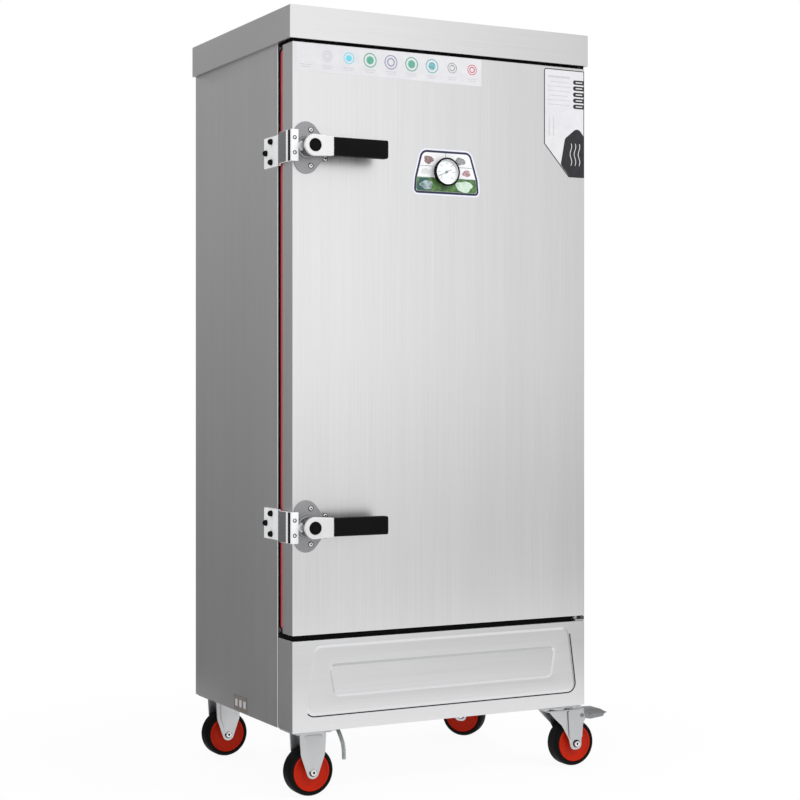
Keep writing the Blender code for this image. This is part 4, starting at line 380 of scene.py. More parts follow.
def sheet_steel(name, colour, roughness, run, spread, depth=0.00004):
    """Cold-rolled stainless sheet, belt-brushed one way: fine streaks, broad soft bands, faint hand marks.

    Real brushing is about 0.1 mm apart, too fine to show, so it is drawn 3 mm apart with a low contrast.
    """
    material, tree, shader, where = new_material(name)

    def streaks(across, along, detail, low, high):
        """A noise of the given sizes across and along the brushing, spread between two levels."""
        scale = [1 / across] * 3
        scale["xyz".index(run)] = 1 / along
        place = add_node(tree, "ShaderNodeMapping", {"Vector": where, "Scale": scale})
        noise = add_node(tree, "ShaderNodeTexNoise", {"Vector": place, "Scale": 1.0, "Detail": detail})
        return add_node(tree, "ShaderNodeMapRange", {"Value": noise, "From Min": low, "From Max": high})

    grain = streaks(0.003, 0.30, 3.0, 0.30, 0.70)
    bands = streaks(0.024, 1.3, 1.0, 0.35, 0.65)
    marks = add_node(tree, "ShaderNodeTexNoise", {"Vector": where, "Scale": 1 / 0.11, "Detail": 4.0})
    waves = add_node(tree, "ShaderNodeTexNoise", {"Vector": where, "Scale": 1 / 0.32, "Detail": 1.0})
    tone = add_node(tree, "ShaderNodeMath", {0: grain, 1: 0.60}, operation="MULTIPLY")
    for pattern, weight in ((bands, 0.22), (marks, 0.18)):
        tone = add_node(tree, "ShaderNodeMath", {0: pattern, 1: weight, 2: tone}, operation="MULTIPLY_ADD")
    tints = {0: tone, 6: shade(colour, 1 - spread), 7: shade(colour, 1 + spread)}
    gloss = {"Value": tone, "To Min": roughness - 0.05, "To Max": roughness + 0.06}
    broad = add_node(tree, "ShaderNodeBump", {"Height": waves, "Strength": 0.25, "Distance": 0.0006})
    relief = {"Height": grain, "Normal": broad, "Strength": 0.3, "Distance": depth}
    fill(tree, shader, {
        "Base Color": add_node(tree, "ShaderNodeMix", tints, data_type="RGBA").outputs[2],
        "Roughness": add_node(tree, "ShaderNodeMapRange", gloss),
        "Normal": add_node(tree, "ShaderNodeBump", relief),
        "Metallic": 1.0,
    })
    return material


def smooth_metal(name, colour, roughness, speck, change=0.10, depth=0.00003, metal=1.0):
    """A metal without grain, polished, plated or cast: its gloss varies in patches of the given size."""
    material, tree, shader, where = new_material(name)
    patches = add_node(tree, "ShaderNodeTexNoise", {"Vector": where, "Scale": 1 / speck, "Detail": 4.0})
    fine = add_node(tree, "ShaderNodeTexNoise", {"Vector": where, "Scale": 6 / speck, "Detail": 2.0})
    tints = {0: patches, 6: shade(colour, 1 - change), 7: colour}
    fill(tree, shader, {
        "Base Color": add_node(tree, "ShaderNodeMix", tints, data_type="RGBA").outputs[2],
        "Roughness": add_node(tree, "ShaderNodeMapRange", {
            "Value": patches, "From Min": 0.3, "From Max": 0.7,
            "To Min": roughness * 0.75, "To Max": roughness * 1.3}),
        "Normal": add_node(tree, "ShaderNodeBump", {"Height": fine, "Strength": 0.3, "Distance": depth}),
        "Metallic": metal,
    })
    return material


def moulded(name, colour, roughness, grain, ior, contrast, depth, light=0.0):
    """Plastic, rubber or paint: a pebbled skin of the given grain size, dulled a little in patches."""
    material, tree, shader, where = new_material(name)
    pebble = add_node(tree, "ShaderNodeTexNoise", {"Vector": where, "Scale": 1 / grain, "Detail": 3.0})
    patches = add_node(tree, "ShaderNodeTexNoise", {"Vector": where, "Scale": 1 / 0.03, "Detail": 3.0})
    tints = {0: patches, 6: shade(colour, 1 - contrast), 7: shade(colour, 1 + contrast / 2)}
    fill(tree, shader, {
        "Base Color": add_node(tree, "ShaderNodeMix", tints, data_type="RGBA").outputs[2],
        "Roughness": add_node(tree, "ShaderNodeMapRange", {
            "Value": patches, "From Min": 0.3, "From Max": 0.7,
            "To Min": roughness - 0.06, "To Max": roughness + 0.08}),
        "Normal": add_node(tree, "ShaderNodeBump", {"Height": pebble, "Strength": 0.4, "Distance": depth}),
        "IOR": ior,
        "Subsurface Weight": light,
        "Subsurface Radius": (0.004, 0.002, 0.002),
    })
    return material


def printed(name, colour, second, patch):
    """Printed vinyl film: two inks that run into each other in patches, under a slight gloss."""
    material, tree, shader, where = new_material(name)
    blend = add_node(
        tree, "ShaderNodeTexNoise", {"Vector": where, "Scale": 1 / patch, "Detail": 5.0, "Roughness": 0.6})
    sharp = add_node(tree, "ShaderNodeMapRange", {"Value": blend, "From Min": 0.35, "From Max": 0.65})
    dots = add_node(tree, "ShaderNodeTexNoise", {"Vector": where, "Scale": 1 / 0.0012, "Detail": 1.0})
    tints = {0: sharp, 6: colour, 7: second}
    fill(tree, shader, {
        "Base Color": add_node(tree, "ShaderNodeMix", tints, data_type="RGBA").outputs[2],
        "Roughness": add_node(tree, "ShaderNodeMapRange", {"Value": dots, "To Min": 0.27, "To Max": 0.39}),
        "Normal": add_node(tree, "ShaderNodeBump", {"Height": dots, "Strength": 0.15, "Distance": 0.00003}),
    })
    return material


def clear(name, colour, roughness, ior, streak):
    """Clear glass: light passes through, with faint streaks in its gloss."""
    material, tree, shader, where = new_material(name)
    streaks = add_node(tree, "ShaderNodeTexNoise", {"Vector": where, "Scale": 1 / streak, "Detail": 2.0})
    tints = {0: streaks, 6: shade(colour, 0.94), 7: colour}
    gloss = {"Value": streaks, "To Min": roughness * 0.6, "To Max": roughness * 1.5}
    fill(tree, shader, {
        "Base Color": add_node(tree, "ShaderNodeMix", tints, data_type="RGBA").outputs[2],
        "Roughness": add_node(tree, "ShaderNodeMapRange", gloss),
        "IOR": ior,
        "Transmission Weight": 1.0,
    })
    return material


def soft_hose(name):
    """Plasticised vinyl tube: milky, half clear, darker near its root, with faint rings of the extruder."""
    material, tree, shader, where = new_material(name)
    height = add_node(tree, "ShaderNodeSeparateXYZ", {0: where}).outputs[2]
    share = add_node(tree, "ShaderNodeMapRange", {"Value": height, "From Min": 0.085, "From Max": 0.128})
    rings = add_node(tree, "ShaderNodeTexNoise", {"Vector": where, "Scale": 1 / 0.004, "Detail": 2.0})
    tints = {0: share, 6: linear("#D3DCD6"), 7: linear("#6C726E")}
    fill(tree, shader, {
        "Base Color": add_node(tree, "ShaderNodeMix", tints, data_type="RGBA").outputs[2],
        "Roughness": add_node(tree, "ShaderNodeMapRange", {"Value": rings, "To Min": 0.25, "To Max": 0.45}),
        "Normal": add_node(tree, "ShaderNodeBump", {"Height": rings, "Strength": 0.2, "Distance": 0.0001}),
        "IOR": 1.45,
        "Transmission Weight": 0.35,
        "Subsurface Weight": 0.3,
        "Subsurface Radius": (0.004, 0.004, 0.004),
    })
    return material


FINISHES = {
    # 304 stainless sheet with a vertical brushed finish: the pale streaky faces of the door, sides and back
    "brushed_stainless_sheet": lambda c, n: sheet_steel(n, c.steel, 0.36, "z", 0.05),
    # the same sheet with its brushing along the cabinet's width, on the cap and the base panel
    "brushed_stainless_across": lambda c, n: sheet_steel(n, c.steel, 0.36, "x", 0.03),
    # 2B mill-finish stainless, unbrushed and duller: liner, racks, frame and other inner sheets
    "mill_finish_stainless": lambda c, n: sheet_steel(n, shade(c.steel, 0.9), 0.42, "y", 0.04, 0.00003),
    # mechanically polished stainless tube, almost mirror bright: vent pipe and water inlet
    "polished_stainless": lambda c, n: smooth_metal(n, c.polished, 0.14, 0.012),
    # zinc die castings under satin chrome and clear lacquer, paler than steel: the levers
    "satin_chrome_casting": lambda c, n: smooth_metal(n, c.polished, 0.26, 0.014, 0.06, 0.00002, 0.62),
    # the same casting gone dull and a little darker: the latch plates, and a darker skin painted as the shade
    # on the strikes' folds
    "dull_chrome_and_fold_shade": lambda c, n: smooth_metal(n, linear("#A2A2A5"), 0.34, 0.010, 0.14, 0.00002, 0.85),
    # white bronze plating, half matt and nearly white: the strikes on the side panel
    "white_bronze_plating": lambda c, n: smooth_metal(n, linear("#FAFAFA"), 0.42, 0.010, 0.04, 0.00002, 0.05),
    # chrome painted dark in patches, as the shade and dark reflections on the levers' barrels behind the caps
    "shade_darkened_chrome": lambda c, n: smooth_metal(n, linear("#8F9093"), 0.22, 0.006, 0.35, 0.00002),
    # polished stainless fasteners, bright at their edges: screws, rivets and axles
    "polished_fastener": lambda c, n: smooth_metal(n, c.polished, 0.10, 0.004),
    # bright zinc plating on pressed steel: bluish grey with a fine spangle, on casters and the lower pivot
    "zinc_plated_steel": lambda c, n: smooth_metal(n, c.zinc, 0.34, 0.02, 0.07, 0.00001),
    # darker passivated zinc: the brake pedals
    "passivated_zinc": lambda c, n: smooth_metal(n, shade(c.zinc, 0.5), 0.36, 0.012, 0.12, 0.00002),
    # black oxide on steel, nearly black with a soft gloss: bolts, sockets, seats and the upper pivot, and a
    # band painted as the dark reflection on each strike's leg
    "black_oxide_and_dark_band": lambda c, n: smooth_metal(n, linear("#1E1E21"), 0.30, 0.004, 0.3),
    # near-black steel strip painted as the shade in the crease along the pressing's lower and right edges
    "painted_crease_shade": lambda c, n: smooth_metal(n, linear("#343538"), 0.5, 0.006, 0.3),
    # painted highlight, a bright steel strip: the pressing's upper slope and the lower and right edges of its
    # field
    "painted_highlight_steel": lambda c, n: smooth_metal(n, linear("#E2E2E3"), 0.42, 0.006, 0.03, 0.00001, 0.6),
    # painted shade, a grey steel strip: the upper edge of the pressed field
    "painted_edge_shade": lambda c, n: smooth_metal(n, linear("#C4C5C6"), 0.42, 0.006, 0.05, 0.00001),
    # heat-tinted nickel alloy tube of the immersion heater, brownish grey
    "heat_tinted_alloy": lambda c, n: smooth_metal(n, linear("#7C7065"), 0.38, 0.02, 0.35),
    # extruded silicone rubber: a dull, slightly waxy red
    "silicone_rubber": lambda c, n: moulded(n, c.gasket, 0.52, 0.002, 1.41, 0.12, 0.00003, 0.08),
    # injection-moulded polypropylene with a moderate gloss: the wheel cores
    "moulded_polypropylene": lambda c, n: moulded(n, c.core, 0.50, 0.0015, 1.25, 0.22, 0.00003),
    # vulcanised rubber with a fine matt skin: tyres
    "vulcanised_rubber": lambda c, n: moulded(n, c.tyre, 0.70, 0.0018, 1.22, 0.4, 0.0001),
    # spark-eroded ABS, matt black: grips, hub caps, the gauge's case and the cable gland
    "moulded_abs": lambda c, n: moulded(n, c.grip, 0.62, 0.0011, 1.22, 0.3, 0.00004),
    # natural nylon, ivory and slightly see-through: pivot bushes
    "natural_nylon": lambda c, n: moulded(n, linear("#E4DFD0"), 0.4, 0.002, 1.53, 0.08, 0.00004, 0.2),
    # rigid polyurethane foam, cream, with open cells where it is cut
    "polyurethane_foam": lambda c, n: moulded(n, linear("#E6D9A6"), 0.85, 0.0025, 1.5, 0.2, 0.0006),
    # enamelled aluminium, white with a low gloss: the dial
    "enamelled_dial": lambda c, n: moulded(n, linear("#F3F3F4"), 0.35, 0.003, 1.5, 0.03, 0.00001),
    # pad-printed grey ink of the dial's scale
    "scale_ink": lambda c, n: moulded(n, linear("#9A9CA0"), 0.5, 0.001, 1.5, 0.1, 0.00001),
    # mid grey enamel of the needle
    "grey_enamel": lambda c, n: moulded(n, linear("#808287"), 0.4, 0.001, 1.45, 0.1, 0.00001),
    # extruded black foam rubber in the seams, without any gloss
    # near-black matt strips painted as the shade in the seams round the door
    "seam_shade_black": lambda c, n: moulded(n, linear("#050505"), 0.8, 0.0025, 1.2, 0.3, 0.0001),
    # float glass over the dial
    "float_glass": lambda c, n: clear(n, linear("#F7FAFA"), 0.03, 1.50, 0.02),
    # soft vinyl, grey where it leaves the base and milky green further down: the drain hose
    "clear_vinyl": lambda c, n: soft_hose(n),
}

# Printed vinyl films with generic marks: the two inks of each, and the size of the patches in which they mix
FILM_INKS = {
    "film_navy": ("#1E1B3A", "#272C48", 0.02),
    "film_halo": ("#E4E4F2", "#EEEEF8", 0.02),
    "film_deep_teal": ("#274A52", "#3A6468", 0.008),
    "film_white": ("#EDEBEE", "#F4F3F3", 0.02),
    "film_clear_white": ("#D6D5D8", "#DCDBDD", 0.02),
    "film_green": ("#26492F", "#658E4C", 0.014),
    "film_leaf": ("#B9D6C0", "#DDEBDD", 0.008),
    "film_slate": ("#56676C", "#B4C6C4", 0.012),
    "film_brown": ("#5A3B3A", "#B59A98", 0.004),
    "film_rose": ("#8C5359", "#CDB9BB", 0.004),
    "film_grey": ("#5E625F", "#B9BCB9", 0.004),
    "film_pale": ("#CED1CF", "#E2E3E2", 0.004),
    "film_black": ("#17151A", "#242127", 0.01),
    "film_bar": ("#BDBBBE", "#CCCACD", 0.004),
    "film_sky": ("#58C6DC", "#7AD6E6", 0.004),
    "film_sea": ("#4E9A82", "#6DB39A", 0.004),
    "film_violet": ("#7C779A", "#A29FB8", 0.004),
    "film_teal": ("#4F9AA3", "#86BDC0", 0.004),
    "film_red": ("#C23B55", "#D65A6E", 0.004),
    "film_dust": ("#6F6560", "#857B75", 0.006),
}


def finish(name):
    """The material of that name, made the first time that a piece asks for it."""
    made = bpy.data.materials.get(name)
    if made:
        return made
    if name in FILM_INKS:
        one, two, patch = FILM_INKS[name]
        return printed(name, linear(one), linear(two), patch)
    return FINISHES[name](bpy.context.scene.steamer_colours, name)


# What a user would change

class SteamerSizes(bpy.types.PropertyGroup):
    """Sizes of the parts that the frame leaves open."""

    fold_radius: FloatProperty(
        name="Fold radius", description="Outer radius of the folds of the door, the cap and the base panel",
        default=0.0019, min=0.0012, max=0.003, unit="LENGTH", subtype="DISTANCE")
    press_height: FloatProperty(
        name="Press height", description="How far the pressed ring of the base panel stands proud",
        default=0.0023, min=0.001, max=0.0035, unit="LENGTH", subtype="DISTANCE")
    press_slope: FloatProperty(
        name="Press slope", description="Width of the pressed ring's sloping sides",
        default=0.0060, min=0.002, max=0.008, unit="LENGTH", subtype="DISTANCE")
    panel_gap: FloatProperty(
        name="Panel gap", description="Open seam between the base panel and the side panels",
        default=0.0040, min=0.0005, max=0.006, unit="LENGTH", subtype="DISTANCE")
    grip_crown: FloatProperty(
        name="Grip crown", description="Rounding of the long edges of the latch grips",
        default=0.0032, min=0.001, max=0.006, unit="LENGTH", subtype="DISTANCE")
    dial_marks: IntProperty(
        name="Dial marks", description="Number of divisions on the thermometer's scale",
        default=24, min=6, max=60)


class SteamerColours(bpy.types.PropertyGroup):
    """Colours of the main materials."""

    steel: FloatVectorProperty(
        name="Stainless steel", description="Colour of the brushed sheet", subtype="COLOR", size=4,
        default=linear("#E4E4E5"), min=0, max=1)
    polished: FloatVectorProperty(
        name="Polished steel", description="Colour of the latches and strikes", subtype="COLOR", size=4,
        default=linear("#EEEDEE"), min=0, max=1)
    zinc: FloatVectorProperty(
        name="Zinc plating", description="Colour of the caster steel", subtype="COLOR", size=4,
        default=linear("#C9CACC"), min=0, max=1)
    gasket: FloatVectorProperty(
        name="Gasket", description="Colour of the door's silicone gasket", subtype="COLOR", size=4,
        default=linear("#CB525A"), min=0, max=1)
    core: FloatVectorProperty(
        name="Wheel core", description="Colour of the moulded wheels", subtype="COLOR", size=4,
        default=linear("#C22406"), min=0, max=1)
    tyre: FloatVectorProperty(
        name="Tyre", description="Colour of the rubber tyres", subtype="COLOR", size=4,
        default=linear("#0A0B0B"), min=0, max=1)
    grip: FloatVectorProperty(
        name="Grip", description="Colour of the latch grips and the gauge's case", subtype="COLOR", size=4,
        default=linear("#080607"), min=0, max=1)


# Operators, one for the stage and one for each group of like pieces

class PieceOperator:
    """What the operators below share."""

    bl_options = {"REGISTER", "UNDO"}

    def execute(self, context):
        self.make(context.scene.steamer_sizes)
        return {"FINISHED"}


HOSE_RADIUS = 0.0043
HOSE_ROUTE = (
    (-0.2050, -0.1250, 0.2180), (-0.2050, -0.1255, 0.2060), (-0.2050, -0.1300, 0.1920),
    (-0.2053, -0.1420, 0.1755), (-0.2056, -0.1600, 0.1600), (-0.2058, -0.1790, 0.1465),
    (-0.2056, -0.1950, 0.1330), (-0.2035, -0.2050, 0.1180), (-0.1985, -0.2092, 0.1025),
    (-0.1935, -0.2100, 0.0870), (-0.1908, -0.2096, 0.0705), (-0.1900, -0.2090, 0.0530),
)


def smooth_route(route, steps=4):
    """Points on a smooth curve through the route's points."""
    points = [Vector(point) for point in route]
    fine = []
    for index in range(len(points) - 1):
        before, start = points[max(index - 1, 0)], points[index]
        end, after = points[index + 1], points[min(index + 2, len(points) - 1)]
        for step in range(steps):
            t = step / steps
            fine.append(
                start + (end - before) * (t / 2) + (2 * before - 5 * start + 4 * end - after) * (t * t / 2)
                + (3 * (start - end) + after - before) * (t * t * t / 2)
            )
    return fine + [points[-1]]


class STEAMER_OT_drain_hose(PieceOperator, bpy.types.Operator):
    """Adds the clear drain hose that hangs under the base"""

    bl_idname = "steamer.drain_hose"
    bl_label = "Drain Hose"

    def make(self, sizes):
        route = smooth_route(HOSE_ROUTE)
        shape = pipe(route, HOSE_RADIUS, HOSE_RADIUS * 0.68, 20)
        hose = show("drain_hose_tube", shape, "clear_vinyl", "cabinet", ("drain_hose",))


CAMERA_PLACE = (-1.8725, -3.5443, 0.8393)
CAMERA_HEADING = -27.917
CAMERA_LENS = 80.75
CAMERA_SHIFT = -0.02145

# Each lamp's place, the length of its sides and its power in watts
LAMPS = {
    "key_lamp": ((1.5, -2.7, 3.1), 2.2, 62),
    "fill_lamp": ((-2.6, -1.6, 2.6), 2.0, 16),
    "top_lamp": ((-0.2, 0.6, 3.6), 2.4, 26),
}

# Reflector cards that only reflections see, as a light tent has. The columns are the arguments of card:
# across, depth, along, up, span, rise, sides and levels.
CARDS = {
    "front_card": ("y", -1.12, (-1.5, 1.9), (0, 2.5), (0.02, 0.91), (0.15, 0.95), (1.05, 0.82), (0.70, 1.0)),
    "left_card": ("x", -0.71, (-0.25, 5.0), (0, 2.5), (0.4, 1.1), (0.3, 1.5), (0.36, 0.34), (0.65, 1.0)),
    "left_floor_card": (
        "z", 0.002, (-3.0, -0.42), (-0.25, 5.0), (-3.0, -0.42), (0, 5.0), (0.20, 0.20), (1.0, 1.0)),
    "right_card": ("x", 0.80, (-0.6, 1.6), (0, 2.5), (-0.3, 0.6), (0.1, 1.7), (0.62, 0.74), (0.78, 1.0)),
    "back_card": ("y", 0.86, (-0.42, 0.42), (0, 2.5), (-0.5, 0.5), (0.1, 1.7), (0.60, 0.72), (0.76, 1.0)),
}


def seen_directly(tree):
    """1 for a ray from the camera, off a glossy surface or through glass, and 0 for any other."""
    path = add_node(tree, "ShaderNodeLightPath")
    seen = path.outputs["Is Camera Ray"]
    for ray in ("Is Glossy Ray", "Is Transmission Ray"):
        seen = add_node(tree, "ShaderNodeMath", {0: seen, 1: path.outputs[ray]}, operation="MAXIMUM")
    return seen


def stage_material(name):
    """A material without nodes yet, whose glow isn't sampled as a lamp."""
    material = bpy.data.materials.new(name)
    material.use_nodes = True
    material.cycles.emission_sampling = "NONE"
    material.node_tree.nodes.clear()
    return material, material.node_tree


class STEAMER_OT_stage(PieceOperator, bpy.types.Operator):
    """Adds the camera, the floor, the lamps, the reflector cards and the world"""

    bl_idname = "steamer.stage"
    bl_label = "Stage"

    def make(self, sizes):
        scene = bpy.context.scene
        scene.view_settings.view_transform = "Standard"
        data = bpy.data.cameras.new("camera")
        data.lens, data.sensor_width, data.shift_y = CAMERA_LENS, 36.0, CAMERA_SHIFT
        data.clip_end = 60
        camera = bpy.data.objects.new("camera", data)
        camera.location = CAMERA_PLACE
        camera.rotation_euler = (math.radians(90), 0, math.radians(CAMERA_HEADING))
        scene.collection.objects.link(camera)
        scene.camera = camera
        self.world(scene)
        self.floor(scene)
        for name, lamp in LAMPS.items():
            self.lamp(name, *lamp)
        for name, card in CARDS.items():
            self.card(name, *card)

    def world(self, scene):
        """White where it is seen, reflected or shows through glass, and a soft grey light otherwise."""
        world = bpy.data.worlds.new("studio")
        scene.world = world
        world.use_nodes = True
        tree = world.node_tree
        tree.nodes.clear()
        levels = {0: seen_directly(tree), 6: (0.66, 0.67, 0.68, 1), 7: (1, 1, 1, 1)}
        colour = add_node(tree, "ShaderNodeMix", levels, data_type="RGBA").outputs[2]
        background = add_node(tree, "ShaderNodeBackground", {"Color": colour, "Strength": 1.0})
        add_node(tree, "ShaderNodeOutputWorld", {"Surface": background})

    def floor(self, scene):
        """A pale floor that keeps the shadow near the cabinet and turns to plain white further out."""
        shape = bmesh.new()
        edges = (0.6, 1.5, 3.5, 9.0)
        loft(shape, [[(*point, 0) for point in circle((0, 0), radius, 96)] for radius in edges])
        shape.faces.new([shape.verts.new((*point, 0)) for point in circle((0, 0), 0.6, 96)])
        bmesh.ops.remove_doubles(shape, verts=shape.verts, dist=1e-5)
        settled(shape)
        mesh = bpy.data.meshes.new("floor")
        shape.to_mesh(mesh)
        shape.free()
        material, tree = stage_material("painted_floor")
        where = add_node(tree, "ShaderNodeTexCoord").outputs["Object"]
        grit = add_node(tree, "ShaderNodeTexNoise", {"Vector": where, "Scale": 1 / 0.02, "Detail": 3.0})
        tints = {0: grit, 6: linear("#F0F0F0"), 7: linear("#F5F5F5")}
        colour = add_node(tree, "ShaderNodeMix", tints, data_type="RGBA").outputs[2]
        paint = add_node(tree, "ShaderNodeBsdfDiffuse", {"Color": colour})
        glow = add_node(tree, "ShaderNodeEmission", {"Color": (1, 1, 1, 1), "Strength": 1.0})
        away = add_node(tree, "ShaderNodeVectorMath", {0: where}, operation="LENGTH").outputs["Value"]
        white = add_node(tree, "ShaderNodeMapRange", {
            "Value": away, "From Min": 0.55, "From Max": 1.5, "To Min": 0.93, "To Max": 1.0,
        }, interpolation_type="SMOOTHSTEP")
        amount = add_node(tree, "ShaderNodeMath", {0: seen_directly(tree), 1: white}, operation="MULTIPLY")
        mix = add_node(tree, "ShaderNodeMixShader", {0: amount, 1: paint, 2: glow})
        add_node(tree, "ShaderNodeOutputMaterial", {"Surface": mix})
        mesh.materials.append(material)
        floor = bpy.data.objects.new("floor", mesh)
        scene.collection.objects.link(floor)

    def lamp(self, name, place, size, power):
        """A soft lamp that looks at the middle of the cabinet and isn't mirrored in it."""
        data = bpy.data.lights.new(name, "AREA")
        data.size, data.energy = size, power
        lamp = bpy.data.objects.new(name, data)
        lamp.location = place
        lamp.visible_glossy = False
        aim = Vector((0, 0, 0.8)) - Vector(place)
        lamp.rotation_euler = aim.to_track_quat("-Z", "Y").to_euler()
        bpy.context.scene.collection.objects.link(lamp)

    def card(self, name, across, depth, along, up, span, rise, sides, levels):
        """A reflector card across an axis, at a depth along it, that reaches along and up.

        span and rise say where its light changes along these two: sides gives its level at the two ends of
        span, and levels the share of that at the two ends of rise.
        """
        shape = plate([rectangle((along[0], up[0]), (along[1], up[1]), 0.05)], depth, depth + 0.004, across)
        mesh = bpy.data.meshes.new(name)
        shape.to_mesh(mesh)
        shape.free()
        material, tree = stage_material(name + "_board")
        where = add_node(tree, "ShaderNodeTexCoord").outputs["Object"]
        parts = add_node(tree, "ShaderNodeSeparateXYZ", {0: where})
        side = add_node(tree, "ShaderNodeMapRange", {
            "Value": parts.outputs[1 if across == "x" else 0], "From Min": span[0], "From Max": span[1],
            "To Min": sides[0], "To Max": sides[1]})
        level = add_node(tree, "ShaderNodeMapRange", {
            "Value": parts.outputs[1 if across == "z" else 2], "From Min": rise[0], "From Max": rise[1],
            "To Min": levels[0], "To Max": levels[1]})
        strength = add_node(tree, "ShaderNodeMath", {0: side, 1: level}, operation="MULTIPLY")
        glow = add_node(tree, "ShaderNodeEmission", {"Color": (1, 1, 1, 1), "Strength": strength})
        add_node(tree, "ShaderNodeOutputMaterial", {"Surface": glow})
        mesh.materials.append(material)
        card = bpy.data.objects.new(name, mesh)
        card.visible_camera = card.visible_diffuse = card.visible_shadow = False
        card.visible_transmission = card.visible_volume_scatter = False
        bpy.context.scene.collection.objects.link(card)


class STEAMER_OT_carcass(PieceOperator, bpy.types.Operator):
    """Adds the side panels, the cap and the base panel, and dresses the sheets behind them"""

    bl_idname = "steamer.carcass"
    bl_label = "Carcass"

    def make(self, sizes):
        for side, name in ((-1, "left"), (1, "right")):
            self.side_panel(name, side)
        self.cap(sizes)
        self.base_panel(sizes)
        inner_sheets = (
            "front_frame", "liner_left", "liner_right", "liner_top", "liner_back", "water_tank", "base_frame")
        for node in inner_sheets:
            dress(node, "mill_finish_stainless")
        dress("back_panel", "brushed_stainless_sheet")
        dress("insulation", "polyurethane_foam")

    def side_panel(self, name, side):
        """A sheet with a hem folded in at its front and a flange folded round the back."""
        low, high = box_of(name + "_side_panel")
        hem, flange, fold = 0.0075, 0.015, 0.0016
        outer = HALF * side
        path = [
            (outer - side * hem, BODY_FRONT + 0.0006), (outer, BODY_FRONT), (outer, high.y),
            (outer - side * flange, high.y),
        ]
        path = rounded(path, [0, fold, fold, 0], 4, closed=False)
        sheet = strap(path, SHEET * side, low.z, high.z, "z", 0.0002)
        show(name + "_side_sheet", sheet, "brushed_stainless_sheet", "cabinet", (name + "_side_panel",))

    def cap(self, sizes):
        """A cap folded from one sheet, hemmed along its lower edge."""
        tray = folded_tray(CAP_LOW, CAP_HIGH, (2, -1), sizes.fold_radius)
        left, right, front, back = CAP_LOW.x, CAP_HIGH.x, CAP_LOW.y, CAP_HIGH.y
        outer = rectangle((left + 0.0004, front + 0.0004), (right - 0.0004, back - 0.0004), 0.0012)
        inner = rectangle((left + 0.0065, front + 0.0045), (right - 0.0065, back - 0.003), 0.0008)
        hem = plate([outer, inner], CAP_LOW.z, CAP_LOW.z + SHEET, "z", 0.0003, 2)
        show("cap_sheet", joined(tray, hem), "brushed_stainless_across", "cabinet", ("top_cap",))

    def base_panel(self, sizes):
        """The base panel, folded at its edges, with a pressed trapezoid ring round a flat field."""
        front = DOOR_FRONT
        low = Vector((-HALF, front, BASE_Z))
        high = Vector((HALF, BODY_FRONT - sizes.panel_gap, PANEL_HIGH.z))
        tray = folded_tray(low, high, (1, 1), sizes.fold_radius)
        foot = [Vector((-HALF + 0.002, BASE_Z)), Vector((HALF - 0.002, BASE_Z))]
        rim = strap(foot, SHEET, front + 0.001, front + 0.012, "y")
        slope, height = sizes.press_slope, sizes.press_height
        # the ring's outer and inner edge: margins beside its top and its bottom, over it and under it, and
        # the radius of its corners
        outer = (0.0495, 0.030, 0.0130, 0.0345, 0.016)
        inner = (0.082, 0.093, 0.0527, 0.0695, 0.011)
        further_right = 0.0042

        def outline(margins, inset):
            """The trapezoid within the margins, drawn in further by the inset."""
            top_side, bottom_side, top_margin, bottom_margin, radius = margins
            top, bottom = HALF - top_side - inset, HALF - bottom_side - inset
            over, under = PANEL_HIGH.z - top_margin - inset, BASE_Z + bottom_margin + inset
            corners = [
                (-bottom, under), (bottom + further_right, under), (top + further_right, over), (-top, over)]
            return rounded(corners, [radius - inset] * 4, 8)

        def pressed(margins, rising, share):
            """One ring of a pressed slope, from its foot at 0 to its brow at 1."""
            rise = height * share * share * (3 - 2 * share)
            return [(x, front - rise, z) for x, z in outline(margins, rising * slope * (share - 0.45))]

        def stretch(loop, *ends):
            """The numbers of a loop's points between the two that lie nearest to the given ends."""
            first, last = [min(range(len(loop)), key=lambda i: math.dist(loop[i], end)) for end in ends]
            return [(first + step) % len(loop) for step in range((last - first) % len(loop) + 1)]

        def faced_forward(sheet):
            """The sheet with all its faces turned to the front."""
            settled(sheet).normal_update()
            for face in sheet.faces:
                if face.normal.y > 0:
                    face.normal_flip()
            return sheet

        def painted_strip(name, look, margins, rising, first, last):
            """A strip that follows a part of a pressed slope, a hair in front of it: the painted highlights
            and painted shade of the pressing.
            """
            rings = [pressed(margins, rising, share) for share in (0.05, 0.2, 0.35, 0.5, 0.65, 0.8, 0.95)]
            run = stretch([(x, z) for x, _, z in rings[3]], first, last)
            strip = bmesh.new()
            rows = []
            for ring in rings:
                rows.append([strip.verts.new((ring[i][0], ring[i][1] - 0.00015, ring[i][2])) for i in run])
            for one, two in zip(rows, rows[1:]):
                for i in range(len(run) - 1):
                    strip.faces.new((one[i], one[i + 1], two[i + 1], two[i]))
            show(name, faced_forward(strip), look, "cabinet")

        steps = 10
        ring = bmesh.new()
        rings = [pressed(outer, 1, step / steps) for step in range(steps + 1)]
        rings += [pressed(inner, -1, 1 - step / steps) for step in range(steps + 1)]
        loft(ring, rings)
        faced_forward(ring)
        # painted shade: a dark strip along the lower and right foot of the pressed ring, where its crease
        # lies in shade
        loop = outline(outer, -slope * 0.5)
        run = stretch(loop, (-0.320, BASE_Z + 0.034), (0.304, PANEL_HIGH.z - 0.028))
        crease = strap([loop[i] for i in run], -0.0025, front - 0.00030, front - 0.00006, "y")
        show("base_panel_crease_shade", crease, "painted_crease_shade", "cabinet")
